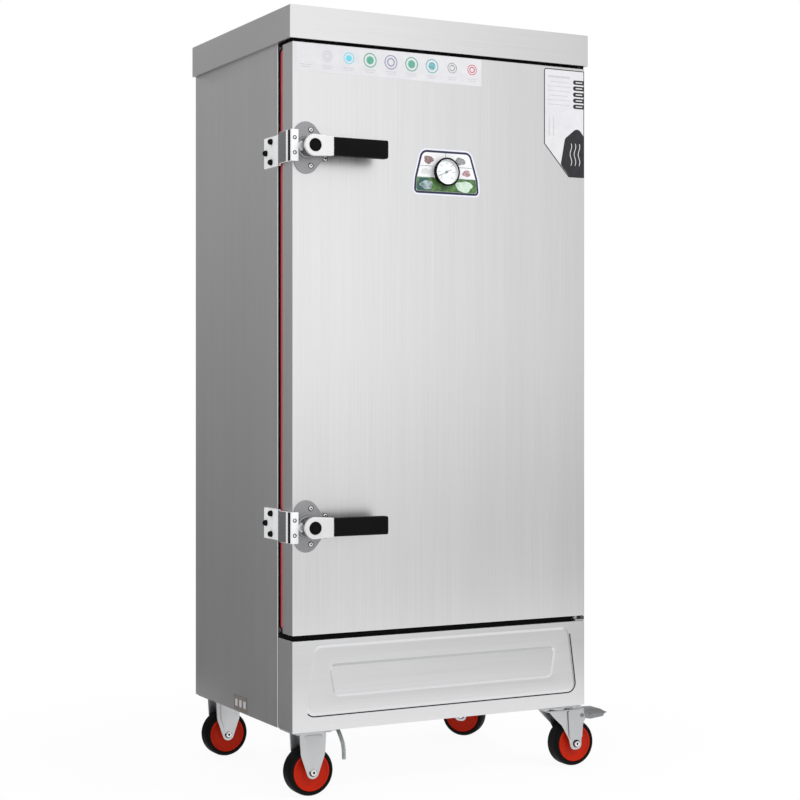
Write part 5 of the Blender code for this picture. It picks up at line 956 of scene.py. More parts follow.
        # painted highlights: bright strips on the ring's upper slope and on the lower and right edges of the
        # field
        painted_strip("base_panel_highlight_top", "painted_highlight_steel", outer, 1,
             (0.294, PANEL_HIGH.z - 0.013), (-0.296, PANEL_HIGH.z - 0.013))
        painted_strip("base_panel_highlight_edge", "painted_highlight_steel", inner, -1,
             (-0.262, BASE_Z + 0.074), (0.266, PANEL_HIGH.z - 0.062))
        # painted shade: a grey strip along the upper edge of the field, whose wall faces down
        painted_strip("base_panel_shaded_edge", "painted_edge_shade", inner, -1,
             (0.266, PANEL_HIGH.z - 0.055), (-0.262, PANEL_HIGH.z - 0.055))
        show("base_panel_sheet", joined(tray, rim, ring), "brushed_stainless_across", "cabinet",
             ("front_base_panel",))


def dress(node, material):
    """Gives a frame node that keeps its own shape a better material."""
    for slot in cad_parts[node].material_slots:
        slot.material = finish(material)


class STEAMER_OT_door(PieceOperator, bpy.types.Operator):
    """Adds the door's outer skin and its gasket, and dresses its liner, foam and bushes"""

    bl_idname = "steamer.door"
    bl_label = "Door"

    def make(self, sizes):
        skin = folded_tray(DOOR_LOW, DOOR_HIGH, (1, 1), sizes.fold_radius)
        show("door_sheet", skin, "brushed_stainless_sheet", "door", ("door_skin",))
        self.gasket()
        self.seams()
        dress("door_liner", "mill_finish_stainless")
        dress("door_foam", "polyurethane_foam")
        dress("upper_pivot_bush", "natural_nylon")
        dress("lower_pivot_bush", "natural_nylon")
        dress("upper_pivot", "black_oxide_and_dark_band")
        dress("lower_pivot", "zinc_plated_steel")

    def seams(self):
        """Black strips painted as the shade in the seams: a trim round the opening and strips over and under
        the door, and the thin end plate beside the lower pivot."""
        outer = rectangle((-0.3470, 0.3350), (0.3470, 1.5215), 0.010, 5)
        inner = rectangle((-0.3440, 0.3380), (0.3440, 1.5185), 0.008, 5)
        trim = plate([outer, inner], BODY_FRONT - 0.0036, BODY_FRONT - 0.0002, "y", 0.0004, 1)
        lower_seam = (PANEL_HIGH.z + 0.0003, DOOR_LOW.z - 0.0008)
        upper_seam = (DOOR_HIGH.z + 0.0008, CAP_LOW.z - 0.0003)
        strips = []
        for low, high in (lower_seam, upper_seam):
            strips.append(block((-0.3480, -0.2950, low), (0.3210, -0.2280, high), 0.0006))
            strips.append(block((0.3205, -0.2592, low), (0.3480, -0.2280, high), 0.0006))
        strips.append(block((0.34912, -0.2975, upper_seam[0]), (0.3499, -0.2280, upper_seam[1]), 0.0002))
        # the trim and strips are painted shade: black sheet where the seams lie in shadow
        show("opening_shade_trim", joined(trim, *strips), "seam_shade_black", "cabinet")
        end = block((0.34912, -0.3000, lower_seam[0]), (0.3499, -0.2600, lower_seam[1]), 0.0002)
        show("lower_pivot_end", end, "zinc_plated_steel", "cabinet")

    def gasket(self):
        """A bulb gasket: a foot against the door, a waist with two grooves and a rounded lip on the frame."""
        low, high = box_of("door_gasket")
        back, front = high.y, low.y
        profile = [
            (0.0000, front), (0.0000, front + 0.0040), (0.0012, front + 0.0052), (0.0012, front + 0.0064),
            (0.0000, front + 0.0076), (0.0000, front + 0.0130), (0.0012, front + 0.0165),
            (0.0045, front + 0.0200), (0.0090, front + 0.0228), (0.0125, back - 0.0006), (0.0160, back),
            (0.0200, back - 0.0006), (0.0240, front + 0.0222), (0.0285, front + 0.0190),
            (0.0312, front + 0.0150), (0.0320, front + 0.0100), (0.0320, front),
        ]
        rings = []
        for inset, depth in profile:
            corner = max(0.004, 0.014 - inset * 0.2)
            loop = rectangle((low.x + inset, low.z + inset), (high.x - inset, high.z - inset), corner, 6)
            rings.append([(x, depth, z) for x, z in loop])
        shape = bmesh.new()
        loft(shape, rings, closed=True)
        settled(shape)
        flange = [
            (0.320, 0.3350), (-0.3445, 0.3350), (-0.3445, 1.5215), (0.320, 1.5215), (0.320, 1.5185),
            (-0.3415, 1.5185), (-0.3415, 0.3380), (0.320, 0.3380),
        ]
        outline = rounded(flange, [0, 0.010, 0.010, 0, 0, 0.008, 0.008, 0], 5)
        wing = plate([outline], back - 0.0300, back - 0.0035, "y", 0.0006, 2)
        show("gasket_bulb", joined(shape, wing), "silicone_rubber", "door", ("door_gasket",))


def screw_head(radius, height, socket):
    """The profile of a domed head with a round socket in it."""
    return [
        (0, height * 0.35), (socket, height * 0.35), (socket, height * 0.92), (radius * 0.62, height),
        (radius * 0.86, height * 0.86), (radius, height * 0.45), (radius, 0), (0, 0),
    ]


class STEAMER_OT_latches(PieceOperator, bpy.types.Operator):
    """Adds both latches: base plates, levers, grips and the strikes on the side panel"""

    bl_idname = "steamer.latches"
    bl_label = "Latches"

    def make(self, sizes):
        for name, middle in LATCHES.items():
            self.base(name, middle)
            self.lever(name, middle)
            self.grip(name, middle, sizes)
            self.strike(name, middle)

    def base(self, name, middle):
        """A rounded triangular plate with a raised ring round the hub and four screws in dark seats."""
        left = -0.348
        lobe, tip, high = 0.027, 0.019, 0.105 / 2
        face, back = DOOR_FRONT - 0.0033, DOOR_FRONT - 0.0003
        discs = [(left + lobe, middle + side * (high - lobe), lobe) for side in (-1, 1)]
        discs.append((left + 0.077 - tip, middle, tip))
        sheet = plate([taut(discs, 64)], face, back, "y", 0.0009, 3)
        boss = [
            (0.0072, 0.0005), (0.0072, 0.0090), (0.0185, 0.0090), (0.0206, 0.0084), (0.0217, 0.0070),
            (0.0220, 0.0055), (0.0220, 0.0022), (0.0226, 0.0008), (0.0242, -0.0002), (0.0072, -0.0002),
        ]
        ring = turned(boss, (LATCH_X, face, middle), "front", 56, closed=True)
        show(name + "_latch_plate", joined(sheet, ring), "dull_chrome_and_fold_shade", "door",
             (name + "_latch_base",))
        spots = []
        for along, across in ((0.037, 0.036), (0.069, 0.020)):
            spots += [(left + along, face, middle + across * side) for side in (-1, 1)]
        heads = copies(turned(screw_head(0.0045, 0.0016, 0.0017), (0, 0, 0), "front", 28), spots)
        show(name + "_latch_screws", heads, "polished_fastener", "door")
        rims = [(0.0057, 0.0002), (0.0044, 0.0002), (0.0044, 0.0005), (0.0057, 0.0005)]
        seats = copies(turned(rims, (0, 0, 0), "front", 28, closed=True), spots)
        pit = [(0, 0.0007), (0.00165, 0.0007), (0.00165, 0.0002), (0, 0.0002)]
        sockets = copies(turned(pit, (0, 0, 0), "front", 12), spots)
        show(name + "_latch_sockets", joined(seats, sockets), "black_oxide_and_dark_band", "door")

    def lever(self, name, middle):
        """A cast arm with its cam nose and tongue, the barrel under it, painted dark for its shade and
        reflections, and the cap over its hub.
        """
        front = DOOR_FRONT - 0.050
        end_x = LATCH_X + 0.0415 - 0.002
        discs = [(LATCH_X, middle, 0.022)] + [(end_x, middle + 0.0175 * side, 0.002) for side in (-1, 1)]
        arm = plate([taut(discs, 64)], front, front + 0.008, "y", 0.0018, 4)

        def level(distance):
            """A height over the door, measured from the cabinet's middle."""
            return distance - DOOR_FRONT
        hub = [
            (0, level(0.046)), (0.0200, level(0.046)), (0.0200, level(0.0148)), (0.0188, level(0.0128)),
            (0.0067, level(0.0126)), (0.0067, level(0.0006)), (0, level(0.0006)),
        ]
        barrel = turned(hub, (LATCH_X, 0, middle), "front", 56)
        tip_x = LATCH_X - 0.0272 + 0.006
        nose = taut([(LATCH_X, middle, 0.018), (tip_x, middle, 0.006)], 48)
        nose = plate([nose], DOOR_FRONT - 0.027, DOOR_FRONT - 0.014, "y", 0.0015, 3)
        low = (end_x, front + 0.0015, middle - 0.011)
        tongue = block(low, (LATCH_X + 0.150, front + 0.0065, middle + 0.011), 0.0006)
        show(name + "_lever_arm", joined(arm, nose, tongue), "satin_chrome_casting", name + "_handle",
             (name + "_lever",))
        # the barrel's dark chrome is painted shade and painted dark reflection
        show(name + "_lever_barrel", barrel, "shade_darkened_chrome", name + "_handle")
        cap = [
            (0, 0.0024), (0.0078, 0.0024), (0.0086, 0.0016), (0.0096, 0.0016), (0.0104, 0.0026),
            (0.0122, 0.0022), (0.0132, 0.0009), (0.0134, -0.0006), (0, -0.0006),
        ]
        show(name + "_lever_cap", turned(cap, (LATCH_X, front, middle), "front", 40), "moulded_abs",
             name + "_handle")

    def grip(self, name, middle, sizes):
        """A moulded grip, softly rounded along its edges and at its free end."""
        front = DOOR_FRONT - 0.051
        start = LATCH_X + 0.0418
        length, half, depth = 0.122, 0.0185, 0.020
        edge = sizes.grip_crown
        stations = [(0.0, 0.0012), (0.0007, 0.0003), (0.0020, 0.0)]
        stations += [(length * share, 0.0) for share in (0.25, 0.5, 0.75)]
        for turn in (0, 0.4, 0.8, 1.15, 1.5):
            stations.append((length - edge * (1 - math.sin(turn)), edge * (1 - math.cos(turn)) * 0.9))
        shape = bmesh.new()
        rings = []
        for along, inset in stations:
            low = (front + inset, middle - half + inset)
            high = (front + depth - inset, middle + half - inset)
            rings.append([(start + along, y, z) for y, z in rectangle(low, high, edge, 5)])
        made = loft(shape, rings)
        shape.faces.new(made[0])
        shape.faces.new(made[-1])
        settled(shape)
        show(name + "_grip_block", shape, "moulded_abs", name + "_handle", (name + "_grip",))

    def strike(self, name, middle):
        """A bent strap, its bolts on the side panel and two rivets in the lip that the nose runs behind, with
        painted shade on its fold and a painted dark reflection on its leg.
        """
        wall = -HALF - 0.0003
        leg = wall - 0.0135
        front = DOOR_FRONT - 0.029 + 0.0025
        path = rounded(
            [(wall, -0.166), (wall, -0.245), (leg, -0.273), (leg, front), (leg + 0.0135, front)],
            [0, 0.004, 0.004, 0.0022, 0], 5, closed=False)
        low = middle - 0.0315
        sheet = strap(path, -0.0025, low, low + 0.063, "z", 0.0006)
        show(name + "_strike_strap", sheet, "white_bronze_plating", "cabinet", (name + "_strike",))
        # painted shade: a darker skin over the strap's bend and side leg
        fold = rounded(
            [(wall, -0.238), (wall, -0.245), (leg, -0.273), (leg, front + 0.0225)],
            [0, 0.004, 0.004, 0], 5, closed=False)
        shift = [point + Vector((-0.0026, 0)) for point in fold]
        liner = strap(shift, -0.0004, low + 0.0008, low + 0.0622, "z", 0.0001)
        show(name + "_strike_fold_shade", liner, "dull_chrome_and_fold_shade", "cabinet")
        # painted reflection: a black band on the leg for the dark reflection in its polished bend, beside the
        # strip of bright strap left between it and the fold
        side = leg - 0.0026
        groove = rectangle((front + 0.0012, low + 0.0006), (front + 0.0125, low + 0.0624), 0.0004)
        groove = plate([groove], side - 0.0004, side + 0.0001, "x", 0.0002, 1)
        show(name + "_strike_dark_band", groove, "black_oxide_and_dark_band", "cabinet")
        outer = wall - 0.0025
        places = [
            (outer, -0.2038, middle + 0.021), (outer, -0.2038, middle - 0.021), (outer, -0.1779, middle)]
        dome = [
            (0, 0.0048), (0.0021, 0.0048), (0.0021, 0.0077), (0.0038, 0.0073), (0.0052, 0.0060),
            (0.0060, 0.0040), (0.0064, 0.0), (0, 0.0),
        ]
        bolts = copies(turned(dome, (0, 0, 0), "left", 28), places)
        show(name + "_strike_bolts", bolts, "black_oxide_and_dark_band", "cabinet")
        rivet = [(0, 0.0012), (0.0016, 0.0011), (0.0025, 0.0006), (0.0028, 0.0), (0, 0.0)]
        places = [(leg + 0.0055, front - 0.0025, middle + side * 0.015) for side in (-1, 1)]
        rivets = copies(turned(rivet, (0, 0, 0), "front", 20), places)
        show(name + "_strike_rivets", rivets, "polished_fastener", "cabinet")
        seat = [(0.0026, 0.0002), (0.0042, 0.0002), (0.0042, 0.0), (0.0026, 0.0)]
        seats = copies(turned(seat, (0, 0, 0), "front", 20, closed=True), places)
        show(name + "_strike_seats", seats, "black_oxide_and_dark_band", "cabinet")


def film(name, outlines, material, lift, body="door", across="y", face=DOOR_FRONT, slot="door_skin"):
    """Printed film: flat outlines a hair in front of a face."""
    shapes = [plate([outline], face - lift, face - lift + FILM, across) for outline in outlines]
    return show(name, joined(*shapes), material, body)


def ring_shape(x, z, outer, inner, lift):
    """A flat printed ring on the door."""
    outlines = [circle((x, z), outer, 36), circle((x, z), inner, 36)]
    return plate(outlines, DOOR_FRONT - lift, DOOR_FRONT - lift + FILM, "y")


def blot(x, z, width, height, seed):
    """A soft uneven blob outline."""
    result = []
    for step in range(40):
        turn = 2 * math.pi * step / 40
        wobble = 1 + 0.10 * math.sin(3 * turn + seed) + 0.06 * math.sin(5 * turn + 2.3 * seed)
        result.append(Vector((x + width * wobble * math.cos(turn), z + height * wobble * math.sin(turn))))
    return result


class STEAMER_OT_gauge(PieceOperator, bpy.types.Operator):
    """Adds the dial thermometer: case, dial with its scale, needle and glass"""

    bl_idname = "steamer.gauge"
    bl_label = "Thermometer"

    def make(self, sizes):
        place = (0, DOOR_FRONT, GAUGE_Z)
        case = [
            (0, 0.0060), (0.0260, 0.0060), (0.0260, 0.0095), (0.0262, 0.0100), (0.0262, 0.0126),
            (0.0268, 0.0130), (0.0288, 0.0128), (0.0296, 0.0118), (0.0297, 0.0100), (0.0272, 0.0060),
            (0.0266, 0.0006), (0.0262, 0.0003), (0.0100, 0.0003), (0.0100, -0.0300), (0, -0.0300),
        ]
        show("gauge_case_shell", turned(case, place, "front", 72), "moulded_abs", "door", ("gauge_case",))
        # painted light: a white lining over the case's inner wall, which would otherwise lie in shade
        rim = [(0.0252, 0.0066), (0.0257, 0.0066), (0.0257, 0.0097), (0.0260, 0.0112), (0.0262, 0.0112),
               (0.0262, 0.0116), (0.0257, 0.0116), (0.0252, 0.0097)]
        lit_lining = turned(rim, place, "front", 72, closed=True)
        show("gauge_rim_lit_lining", lit_lining, "enamelled_dial", "door")
        disc = [(0, 0.0070), (0.0250, 0.0070), (0.0256, 0.0067), (0.0256, 0.0063), (0, 0.0063)]
        show("gauge_dial_face", turned(disc, place, "front", 72), "enamelled_dial", "door", ("gauge_dial",))
        self.scale(sizes)
        glass = [(0, 0.0112), (0.0248, 0.0112), (0.0251, 0.0109), (0.0251, 0.0099), (0, 0.0099)]
        glass = turned(glass, place, "front", 72)
        pane = show("gauge_glass_pane", glass, "float_glass", "door", ("gauge_glass",))
        pane.visible_shadow = False
        outline = taut([(0, -0.0117, 0.0008), (0, 0.0207, 0.0004)], 24)
        pointer = plate([outline], -0.0084, -0.0077, "y", 0.00015, 1)
        hub = [(0, 0.0091), (0.0018, 0.0090), (0.0029, 0.0085), (0.0030, 0.0076), (0, 0.0076)]
        hub = turned(hub, (0, 0, 0), "front", 28)
        turn = Matrix.Rotation(math.radians(-115), 4, "Y")
        at = Matrix.Translation(DATUM + Vector(place)) @ turn
        show("gauge_pointer", joined(pointer, hub), "grey_enamel", "needle", ("gauge_needle",), place=at)

    def scale(self, sizes):
        """Printed divisions over three quarters of the dial, every fourth one longer, and their numbers."""
        lift = 0.0072
        first, sweep, longer = 225, 270, 4

        def turn_of(index):
            """The direction of a division."""
            return math.radians(first - sweep * index / sizes.dial_marks)

        marks = []
        for index in range(sizes.dial_marks + 1):
            turn = turn_of(index)
            long = index % longer == 0
            inner, outer, half = (0.0196 if long else 0.0212), 0.0228, (0.00028 if long else 0.00016)
            along = Vector((math.cos(turn), math.sin(turn)))
            side = Vector((-along.y, along.x)) * half
            outline = [along * inner - side, along * outer - side, along * outer + side, along * inner + side]
            outline = [point + Vector((0, GAUGE_Z)) for point in outline]
            marks.append(plate([outline], DOOR_FRONT - lift - 0.0001, DOOR_FRONT - lift, "y"))
        show("gauge_scale", joined(*marks), "scale_ink", "door")
        for index in range(0, sizes.dial_marks + 1, longer):
            turn = turn_of(index)
            data = bpy.data.curves.new("gauge_number_%d" % index, "FONT")
            data.body = str(index * 5)
            data.size, data.extrude = 0.0038, 0.00005
            data.align_x, data.align_y = "CENTER", "CENTER"
            number = bpy.data.objects.new(data.name, data)
            place = Vector((math.cos(turn) * 0.0166, 0, GAUGE_Z + math.sin(turn) * 0.0166))
            number.location = DATUM + place + Vector((0, DOOR_FRONT - lift, 0))
            number.rotation_euler = (math.radians(90), 0, 0)
            bpy.context.scene.collection.objects.link(number)
            data.materials.append(finish("scale_ink"))
            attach(number, "door")


class STEAMER_OT_films(PieceOperator, bpy.types.Operator):
    """Adds the printed films: the plaque round the thermometer, the top strip and the two labels"""

    bl_idname = "steamer.films"
    bl_label = "Printed Films"

    def make(self, sizes):
        self.plaque()
        self.strip()
        self.corner()
        self.side()

    def plaque(self):
        """The plaque round the thermometer: halo, dark border, white ground, fields, lines and blobs."""
        base = [
            (-0.0742, 1.2343), (0.0822, 1.2343), (0.0792, 1.2665), (0.0610, 1.3246), (-0.0562, 1.3246),
            (-0.0715, 1.2672)]
        base = rounded(base, [0.009, 0.009, 0.030, 0.017, 0.017, 0.030], 8)
        film("plaque_halo", [drawn_in(base, -0.0032)], "film_halo", 0.00018)
        film("plaque_border", [base], "film_navy", 0.00030)
        film("plaque_ground", [drawn_in(base, 0.0046)], "film_white", 0.00042)
        field = [(-0.0690, 1.2392), (0.0770, 1.2392), (0.0740, 1.2672), (-0.0664, 1.2672)]
        field = rounded(field, [0.0055, 0.0055, 0, 0], 5)
        film("plaque_field", [field], "film_green", 0.00054)
        lines = [
            [(-0.0606, 1.2912), (-0.0280, 1.2912), (-0.0280, 1.2924), (-0.0602, 1.2924)],
            [(0.0280, 1.2912), (0.0674, 1.2912), (0.0670, 1.2924), (0.0280, 1.2924)],
            [(0.0010, 1.3090), (0.0023, 1.3090), (0.0023, 1.3200), (0.0010, 1.3200)],
            [(-0.0662, 1.2672), (-0.0260, 1.2672), (-0.0260, 1.2684), (-0.0659, 1.2684)],
            [(0.0260, 1.2672), (0.0738, 1.2672), (0.0735, 1.2684), (0.0260, 1.2684)],
        ]
        film("plaque_lines", [[Vector(point) for point in line] for line in lines], "film_slate", 0.00054)
        film("plaque_blots_brown", [blot(-0.0390, 1.3045, 0.0112, 0.0085, 1.0)], "film_brown", 0.00054)
        film("plaque_blots_grey", [blot(0.0365, 1.3045, 0.0125, 0.0080, 2.0)], "film_grey", 0.00054)
        film("plaque_blots_pale", [blot(-0.0460, 1.2800, 0.0110, 0.0060, 3.0)], "film_pale", 0.00054)
        film("plaque_blots_rose", [blot(0.0520, 1.2800, 0.0095, 0.0070, 4.0)], "film_rose", 0.00054)
        teal = [(-0.0672, 1.2410), (-0.030, 1.2410), (-0.040, 1.2660), (-0.0610, 1.2660)]
        film("plaque_blots_teal", [rounded(teal, [0.004] * 4, 4)], "film_deep_teal", 0.00066)
        film("plaque_blots_slate", [blot(-0.0440, 1.2520, 0.0150, 0.0095, 5.0)], "film_slate", 0.00078)
        film("plaque_blots_leaf", [blot(0.0460, 1.2520, 0.0200, 0.0115, 6.0)], "film_leaf", 0.00066)

    def strip(self):
        """A pale film with nine round marks, each over two short bars."""
        ground = rectangle((-0.3435, 1.4665), (0.0885, 1.5235), 0.002)
        film("strip_film", [ground], "film_clear_white", 0.00018)
        inks = [
            "film_pale", "film_bar", "film_sky", "film_sea", "film_violet", "film_sea", "film_teal",
            "film_grey", "film_red"]
        wide = [0.0085, 0.0115, 0.0120, 0.0150, 0.0150, 0.0150, 0.0150, 0.0110, 0.0110]
        filled = (2, 3, 5, 6)
        lift = 0.00030
        bars = []
        for index, (ink, size) in enumerate(zip(inks, wide)):
            x, z = -0.3207 + 0.0483 * index, 1.5000
            shapes = [ring_shape(x, z, size, size * 0.86, lift)]
            if index in filled:
                disc = circle((x, z), size * 0.55, 30)
                shapes.append(plate([disc], DOOR_FRONT - lift, DOOR_FRONT - lift + FILM, "y"))
            else:
                shapes.append(ring_shape(x, z, size * 0.60, size * 0.42, lift))
            show("strip_mark_%d" % (index + 1), joined(*shapes), ink, "door")
            for row, width in ((0, 0.0125), (1, 0.0100)):
                low = 1.4795 - 0.0045 * row
                bars.append(rectangle((x - width, low), (x + width, low + 0.0013), 0.0005, 2))
        film("strip_bars", bars, "film_bar", lift)

    def corner(self):
        """A label in the door's upper right corner: outline, short bars, five dark tabs and a dark field."""
        outer = rounded(
            [(0.3085, 1.2865), (0.3490, 1.2865), (0.3490, 1.5195), (0.2455, 1.5195), (0.2455, 1.3560)],
            [0.003, 0.002, 0.003, 0.006, 0.003], 4)
        film("corner_outline", [outer], "film_black", 0.00018)
        film("corner_ground", [drawn_in(outer, 0.0020)], "film_clear_white", 0.00030)
        rows = (1.4935, 1.4805, 1.4670, 1.4540, 1.4410)
        tabs = []
        for z in rows:
            tab = [(0.3200, z - 0.0048), (0.3477, z - 0.0048), (0.3477, z + 0.0048), (0.3200, z + 0.0048)]
            tabs.append(rounded(tab, [0.0046, 0, 0, 0.0046], 5))
        film("corner_tabs", tabs, "film_black", 0.00042)
        marks = [rectangle((0.3265, z - 0.0012), (0.3440, z + 0.0012), 0.0010, 2) for z in rows]
        film("corner_tab_marks", marks, "film_pale", 0.00054)
        reaches = (
            (0.256, 0.312), (0.262, 0.308), (0.254, 0.314), (0.254, 0.314), (0.258, 0.306), (0.254, 0.314),
            (0.254, 0.312))
        lines = []
        for index, (left, right) in enumerate(reaches):
            low = 1.5005 - 0.0098 * index
            lines.append(rectangle((left, low), (right, low + (0.0042 if index == 0 else 0.0013)), 0.0006, 2))
        for x in (0.2575, 0.2685):
            lines.append(rectangle((x, 1.3740), (x + 0.0022, 1.4150), 0.0006, 2))
        film("corner_lines", lines, "film_bar", 0.00042)
        field = [
            (0.3100, 1.2880), (0.3477, 1.2880), (0.3477, 1.3770), (0.3320, 1.3960), (0.2990, 1.3700),
            (0.2880, 1.3130)]
        field = rounded(field, [0.002, 0.001, 0.010, 0.012, 0.012, 0.004], 5)
        film("corner_field", [field], "film_black", 0.00042)
        waves = []
        for index in range(3):
            x = 0.3135 + index * 0.0105
            path = [Vector((x + 0.0022 * math.sin(step * 0.9), 1.3120 + step * 0.0048)) for step in range(11)]
            waves.append(path + [point + Vector((0.0016, 0)) for point in path[::-1]])
        film("corner_steam", waves, "film_pale", 0.00054)

    def side(self):
        """A small dull label low on the left side panel."""
        place = ("cabinet", "x", -HALF, "left_side_panel")
        ground = rectangle((-0.070, 0.1385), (0.003, 0.1705), 0.002)
        film("side_label", [ground], "film_dust", 0.0003, *place)
        marks = []
        for index in range(3):
            shift = 0.022 * index
            marks.append(rectangle((-0.063 + shift, 0.1470), (-0.050 + shift, 0.1620), 0.002))
        film("side_label_marks", marks, "film_bar", 0.00045, *place)


# Casters, drawn about the middle of their mounting face, which lies at the height of the base. The fixed ones
# are given by their place, the swivelling ones by their place and heading.

RIGID = {"front_left": (-0.2965, -0.259), "rear_left": (-0.2965, 0.188)}
SWIVEL = {"front_right": (0.294, -0.264, 0.0), "rear_right": (0.269, 0.166, -48.0)}
MOUNT_Z = 0.1355
AXLE_Z = 0.050 - MOUNT_Z
TRAIL = 0.043
LEG_INNER, LEG_OUTER = 0.0230, 0.0255
BOLT_SPOTS = [(0.035 * sx, 0.026 * sy, 0) for sx in (-1, 1) for sy in (-1, 1)]


def caster_place(corner, heading=0.0):
    """Where a caster's mounting face lies, turned to its heading."""
    x, y = (RIGID.get(corner) or SWIVEL[corner])[:2]
    turn = Matrix.Rotation(math.radians(heading), 4, "Z")
    return Matrix.Translation(DATUM + Vector((x, y, MOUNT_Z))) @ turn


def mounting_plate():
    """A caster's top plate with rounded corners, washers and hexagon bolts with their nuts."""
    outline = rectangle((-0.050, -0.036), (0.050, 0.036), 0.007, 6)
    sheet = plate([outline], -0.0028, -0.0003, "z", 0.0006, 2)
    washer = [(0.0042, 0.0), (0.0074, 0.0), (0.0076, -0.0006), (0.0074, -0.0010), (0.0042, -0.0010)]
    under = copies(turned(washer, (0, 0, -0.0028), "up", 24, closed=True), BOLT_SPOTS)
    hexagon = rounded(circle((0, 0), 0.0062, 6), [0.0006] * 6, 2)
    heads = copies(plate([hexagon], -0.0063, -0.0036, "z", 0.0007, 2), BOLT_SPOTS)
    nuts = copies(plate([hexagon], 0.0023, 0.0083, "z", 0.0007, 2), BOLT_SPOTS)
    return joined(sheet, under, heads, nuts)


def raised_leg(outline, hole, low, high, outside, rib, proud=0.0016):
    """A pressed leg with a raised rib down its outer face."""
    leg = plate([outline, hole], low, high, "y", 0.0008, 3)
    face = low if outside < 0 else high
    shape = bmesh.new()
    rings = []
    for step in range(7):
        share = step / 6
        rise = proud * share * share * (3 - 2 * share)
        loop = drawn_in(rib, 0.004 * share)
        rings.append([(x, face + outside * rise, z) for x, z in loop])
    made = loft(shape, rings)
    shape.faces.new(made[-1])
    settled(shape)
    return joined(leg, shape)


def wheel_core(place_x):
    """A moulded core: hub, a gently dished web and a lipped rim that carries the tyre."""
    half = [
        (0.0045, 0.0222), (0.0112, 0.0222), (0.0120, 0.0214), (0.0124, 0.0163), (0.0140, 0.0147),
        (0.0230, 0.0139), (0.0310, 0.0147), (0.0350, 0.0167), (0.0362, 0.0183), (0.0394, 0.0183),
        (0.0400, 0.0175),
    ]
    profile = half + [(radius, -height) for radius, height in half[::-1]]
    return turned(profile, (place_x, 0, AXLE_Z), "front", 72, closed=True)


def tyre_shape(place_x):
    """A rounded tyre with a raised bead, a shoulder groove and a flattened tread."""
    half = [
        (0.0403, 0.0163), (0.0403, 0.0175), (0.0412, 0.0187), (0.0430, 0.0195), (0.0450, 0.0193),
        (0.0466, 0.0183), (0.0478, 0.0169), (0.0488, 0.0151), (0.0495, 0.0131), (0.0499, 0.0105),
        (0.0500, 0.0060),
    ]
    profile = half + [(radius, -height) for radius, height in half[::-1]]
    return turned(profile, (place_x, 0, AXLE_Z), "front", 96, closed=True)


def axle_shape(place_x):
    """A riveted axle: a dished head on one side and a round end on the other."""
    head = [
        (0, 0.0285), (0.0020, 0.0285), (0.0028, 0.0302), (0.0046, 0.0306), (0.0062, 0.0299), (0.0068, 0.0281),
        (0.0068, 0.0258), (0.0040, 0.0258), (0.0040, -0.0258), (0.0068, -0.0258), (0.0068, -0.0285),
        (0.0060, -0.0303), (0.0030, -0.0307), (0, -0.0307),
    ]
    return turned(head, (place_x, 0, AXLE_Z), "front", 32)


def axle_seats(place_x):
    """Dark lock washers under the axle's ends, and the dark pit of its dished head."""
    face = LEG_OUTER + 0.0002
    ring = [(0.0066, face), (0.0086, face), (0.0084, LEG_OUTER + 0.0012), (0.0066, LEG_OUTER + 0.0014)]
    back = [(radius, -height) for radius, height in ring]
    pit = [(0, 0.0289), (0.0021, 0.0289), (0.0021, 0.0286), (0, 0.0286)]
    place = (place_x, 0, AXLE_Z)
    washers = [turned(profile, place, "front", 28, closed=True) for profile in (ring, back)]
    return joined(*washers, turned(pit, place, "front", 20))


def show_wheel(corner, place, place_x):
    """Adds a wheel's core and tyre."""
    show(corner + "_core_moulding", wheel_core(place_x), "moulded_polypropylene", corner + "_wheel",
         (corner + "_wheel_core",), place=place)
    show(corner + "_tyre_ring", tyre_shape(place_x), "vulcanised_rubber", corner + "_wheel",
         (corner + "_tyre",), place=place)


class STEAMER_OT_rigid_casters(PieceOperator, bpy.types.Operator):
    """Adds the two fixed casters on the left"""

    bl_idname = "steamer.rigid_casters"
    bl_label = "Fixed Casters"

    def make(self, sizes):
        for corner in RIGID:
            place = caster_place(corner)
            sides = (-1, 1)
            discs = [(side * 0.0288, -0.0035, 0.0012) for side in sides]
            discs += [(0, -0.044, 0.0275), (0, AXLE_Z, 0.0135)]
            rib = [(side * 0.0140, -0.016, 0.008) for side in sides]
            rib = taut(rib + [(0, -0.046, 0.0205), (0, AXLE_Z + 0.004, 0.0098)], 48)
            hole = circle((0, AXLE_Z), 0.0046, 24)
            outline = taut(discs, 48)
            legs = [
                raised_leg(outline, hole, -LEG_OUTER, -LEG_INNER, -1, rib),
                raised_leg(outline, hole, LEG_INNER, LEG_OUTER, 1, rib),
            ]
            bracket = corner + "_caster_bracket"
            pressing = joined(mounting_plate(), *legs)
            show(corner + "_bracket_pressing", pressing, "zinc_plated_steel", "cabinet",
                 (bracket,), place=place)
            show(corner + "_axle_rivet", axle_shape(0), "polished_fastener", "cabinet",
                 place=place)
            show(corner + "_axle_seats", axle_seats(0), "black_oxide_and_dark_band", "cabinet",
                 place=place)
            show_wheel(corner, place, 0)


